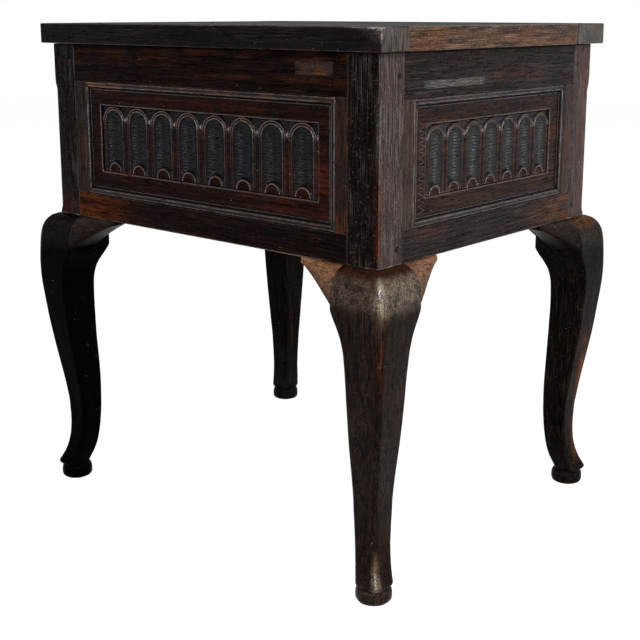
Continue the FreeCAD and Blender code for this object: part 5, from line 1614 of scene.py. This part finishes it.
@dataclass
class Lid:
    """The lifting lid: a frame of four rails round two boards."""

    half_width: float = 275.0
    half_depth: float = 227.0
    low: float = 585.0
    high: float = 610.0
    front_edge: float = -182.0
    back_edge: float = 161.0
    side_edge: float = 213.0
    board_seam: float = -10.5
    board_low: float = 594.0
    gap: float = 0.2
    hinge_x: float = 155.0
    notch_half: float = 25.5
    notch_front: float = 214.0
    notch_top: float = 588.9
    peg_rows: tuple[tuple[float, float], tuple[float, float]] = ((234.0, 260.0), (-198.0, 177.0))

    def boxes(self) -> dict[str, tuple[Triple, Triple]]:
        """Where each timber of the lid lies, without its tongues and tenons."""
        outer, inner, gap = self.half_width, self.side_edge, self.gap
        low, high, front, back = self.low, self.high, self.front_edge, self.back_edge
        return {
            "lid_front_rail": ((-outer, -self.half_depth, low), (outer, front, high)),
            "lid_back_rail": ((-outer, back, low), (outer, self.half_depth, high)),
            "lid_left_end": ((-outer, front + gap, low), (-inner, back - gap, high)),
            "lid_right_end": ((inner, front + gap, low), (outer, back - gap, high)),
            "lid_board_front": ((-inner + gap, front + gap, self.board_low),
                                (inner - gap, self.board_seam - gap, high - 0.3)),
            "lid_board_back": ((-inner + gap, self.board_seam + gap, self.board_low),
                               (inner - gap, back - gap, high - 0.5)),
        }

    def build(self) -> None:
        """Make the six timbers of the lid, with a chipped corner at the front right."""
        for number, (node, (low, high)) in enumerate(self.boxes().items()):
            grain = Grain.Y if node.endswith("_end") else Grain.X
            shell = timber(low, high, grain, soft=1.5, wave=0.2, wear=0.7, seed=41 + number)
            if node == "lid_front_rail":
                corner = np.array([self.half_width, -self.half_depth, self.high])
                near = np.exp(-(np.abs(shell.points - corner) / np.array([26.0, 9.0, 9.0])).sum(axis=1))
                chip = near * (1.2 + lumps(shell.points, 5.0, 4)) * 1.6
                shell.points -= np.array([0.5, -0.6, 0.6]) * chip[:, None]
                shell.worn = np.clip(shell.worn + near * 1.5, 0, 1)
            if node == "lid_back_rail":
                self.notch(shell)
            shell.kinds = {index: 1 for index, face in enumerate(shell.faces)
                           if shell.points[list(face), 2].min() > self.high - 0.9}
            if node == "lid_right_end":
                x, _, z = shell.points.T
                shell.bare = smooth(272, 274, x) * (0.25 + 0.65 * smooth(600, 590, z))
                shell.kinds |= {index: 2 for index, face in enumerate(shell.faces)
                                if x[list(face)].min() > self.half_width - 2.0}
            show(f"{node}_timber", node, shell, "lid_oak", LID_OAK.material(grain),
                 LID_TOP_OAK.material(grain), LID_END_OAK.material(grain), body=LID)

    def notch(self, shell: Shell) -> None:
        """Cut the lower back arris back over the two hinges' knuckles.

        Args:
            shell: The back rail.
        """
        x, y, z = shell.points.T
        beside = np.abs(np.abs(x) - self.hinge_x) < self.notch_half
        z[beside & (y > self.notch_front) & (z < self.notch_top)] = self.notch_top

    def pegs(self, tree: Tree) -> None:
        """Set the pegs that hold the end rails' tenons.

        Args:
            tree: The tree of pegs and nails.
        """
        pegs = Pegs(radius=3.2, length=18.4, head_height=0.02)
        for x, y, sign in itertools.product(*self.peg_rows, (-1, 1)):
            pegs.at((x * sign, y, self.high - 0.08), (0, 0, 1))
        pegs.show("lid_joint_pegs", "lid_pegs", tree, 5, LID)


@dataclass
class Studio:
    """The floor, the lamps, the world and the camera."""

    focal_px: float = 1129.5
    shift_y: float = -0.1156
    eye: Triple = (0.9516, -1.0985, 0.6240)
    yaw: float = 40.922
    pitch: float = 11.721

    def seen(self, tree: Tree) -> Socket:
        """Tell whether a ray looks at the studio: from the camera, off a gloss or through glass.

        Args:
            tree: The tree that asks.

        Returns:
            One for such a ray, and nought for one that only brings light.
        """
        path = add(tree, "ShaderNodeLightPath").outputs
        either = maths(tree, "MAXIMUM", path["Is Camera Ray"], path["Is Glossy Ray"])
        return maths(tree, "MAXIMUM", either, path["Is Transmission Ray"])

    def floor(self) -> None:
        """Lay a pale floor that shows white to the camera and keeps the object's shadow."""
        mesh = bpy.data.meshes.new("studio_floor")
        mesh.from_pydata([(-6, -6, 0), (6, -6, 0), (6, 6, 0), (-6, 6, 0)], [], [(0, 1, 2, 3)])
        material = bpy.data.materials.new("pale_paper_floor")
        tree = cleared(material)
        paper = add(tree, "ShaderNodeBsdfDiffuse", {"Color": linear("8c8c8c")})
        shown = maths(tree, "MULTIPLY", self.seen(tree), 0.93)
        glow = add(tree, "ShaderNodeEmission", {"Color": (1, 1, 1, 1), "Strength": shown})
        both = add(tree, "ShaderNodeAddShader", {0: paper.outputs[0], 1: glow.outputs[0]})
        add(tree, "ShaderNodeOutputMaterial", {"Surface": both.outputs[0]})
        mesh.materials.append(material)
        floor = bpy.data.objects.new("studio_floor", mesh)
        bpy.context.scene.collection.objects.link(floor)

    def world(self) -> None:
        """Make a studio that is bright behind the object and dim behind the camera."""
        world = bpy.data.worlds.new("soft_studio")
        tree = cleared(world)
        way = add(tree, "ShaderNodeTexCoord").outputs["Generated"]
        bright = Vector((0.45, 0.85, 0.25)).normalized()
        share = add(tree, "ShaderNodeVectorMath", {0: way, 1: tuple(bright)}, operation="DOT_PRODUCT")
        level = ranged(tree, share.outputs["Value"], -0.2, 0.9, 0.05, 0.5, interpolation_type="SMOOTHSTEP")
        soft, white = [add(tree, "ShaderNodeBackground", {
            "Color": (1, 1, 1, 1), "Strength": strength}).outputs[0] for strength in (level, 1.0)]
        both = add(tree, "ShaderNodeMixShader", {0: self.seen(tree), 1: soft, 2: white})
        add(tree, "ShaderNodeOutputWorld", {"Surface": both.outputs[0]})
        bpy.context.scene.world = world

    def lamps(self) -> None:
        """Hang the key beside the camera, a tall soft box before each face in view and one above."""
        for name, place, size, power, colour in (
                ("soft_box_key", (1.45, -1.55, 1.35), (0.20, 0.60), 38.0, "fffaf4"),
                ("soft_box_front", (-0.15, -2.5, 0.80), (0.6, 1.4), 25.0, "f0f4ff"),
                ("soft_box_right", (2.3, 0.6, 0.80), (0.5, 1.4), 24.0, "f6f8ff"),
                ("soft_box_above", (0.0, 0.3, 2.6), (1.2, 1.2), 12.0, "ffffff")):
            lamp = bpy.data.lights.new(name, "AREA")
            lamp.shape, lamp.energy = "RECTANGLE", power
            lamp.size, lamp.size_y = size
            lamp.color = linear(colour)[:3]
            holder = bpy.data.objects.new(name, lamp)
            holder.location = place
            aim = Vector((0, 0, 0.4)) - Vector(place)
            holder.rotation_euler = aim.to_track_quat("-Z", "Y").to_euler()
            bpy.context.scene.collection.objects.link(holder)

    def camera(self) -> None:
        """Stand the camera where the photograph was taken."""
        view = bpy.data.cameras.new("camera")
        view.sensor_width = SENSOR_MM
        view.lens = self.focal_px / PICTURE_WIDTH * SENSOR_MM
        view.shift_y = self.shift_y
        view.clip_start, view.clip_end = 0.05, 50
        holder = bpy.data.objects.new("camera", view)
        holder.location = self.eye
        holder.rotation_euler = (math.radians(90 - self.pitch), 0, math.radians(self.yaw))
        bpy.context.scene.collection.objects.link(holder)
        bpy.context.scene.camera = holder

    def build(self) -> None:
        """Set up the whole studio."""
        bpy.context.scene.view_settings.view_transform = "Standard"
        self.floor()
        self.world()
        self.lamps()
        self.camera()


def main() -> None:
    """Build the box from the ground up."""
    logging.basicConfig(level=logging.INFO, format="%(message)s")
    row, fixings, nicks = row_tree(), fixing_tree(), nick_tree()
    Studio().build()
    case = Case()
    case.posts()
    for number, face in enumerate(case.faces):
        case.rails(face, 100 + number * 10)
        case.panel(face, row, 200 + number * 10)
        case.moulding(face, 300 + number * 10)
        if face.pale:
            case.hatching(nicks, face)
    case.patches()
    case.pegs(fixings)
    case.floor()
    for quarter, (corner, (x, y)) in enumerate(CORNERS.items()):
        Leg(corner, quarter, x * case.half_width, y * case.half_depth,
            (SIDES[quarter], SIDES[(quarter + 1) % 4])).build()
    lid = Lid()
    lid.build()
    lid.pegs(fixings)
    for node in ("hinge_left_case_leaf", "hinge_right_case_leaf", "hinge_left_lid_leaf",
                 "hinge_right_lid_leaf", "hinge_pins"):
        iron_on(node, HINGE_IRON)
    for node in ("floor_nails", "hinge_nails_case", "hinge_nails_lid"):
        iron_on(node, NAIL_IRON)


if __name__ == "__main__":
    main()
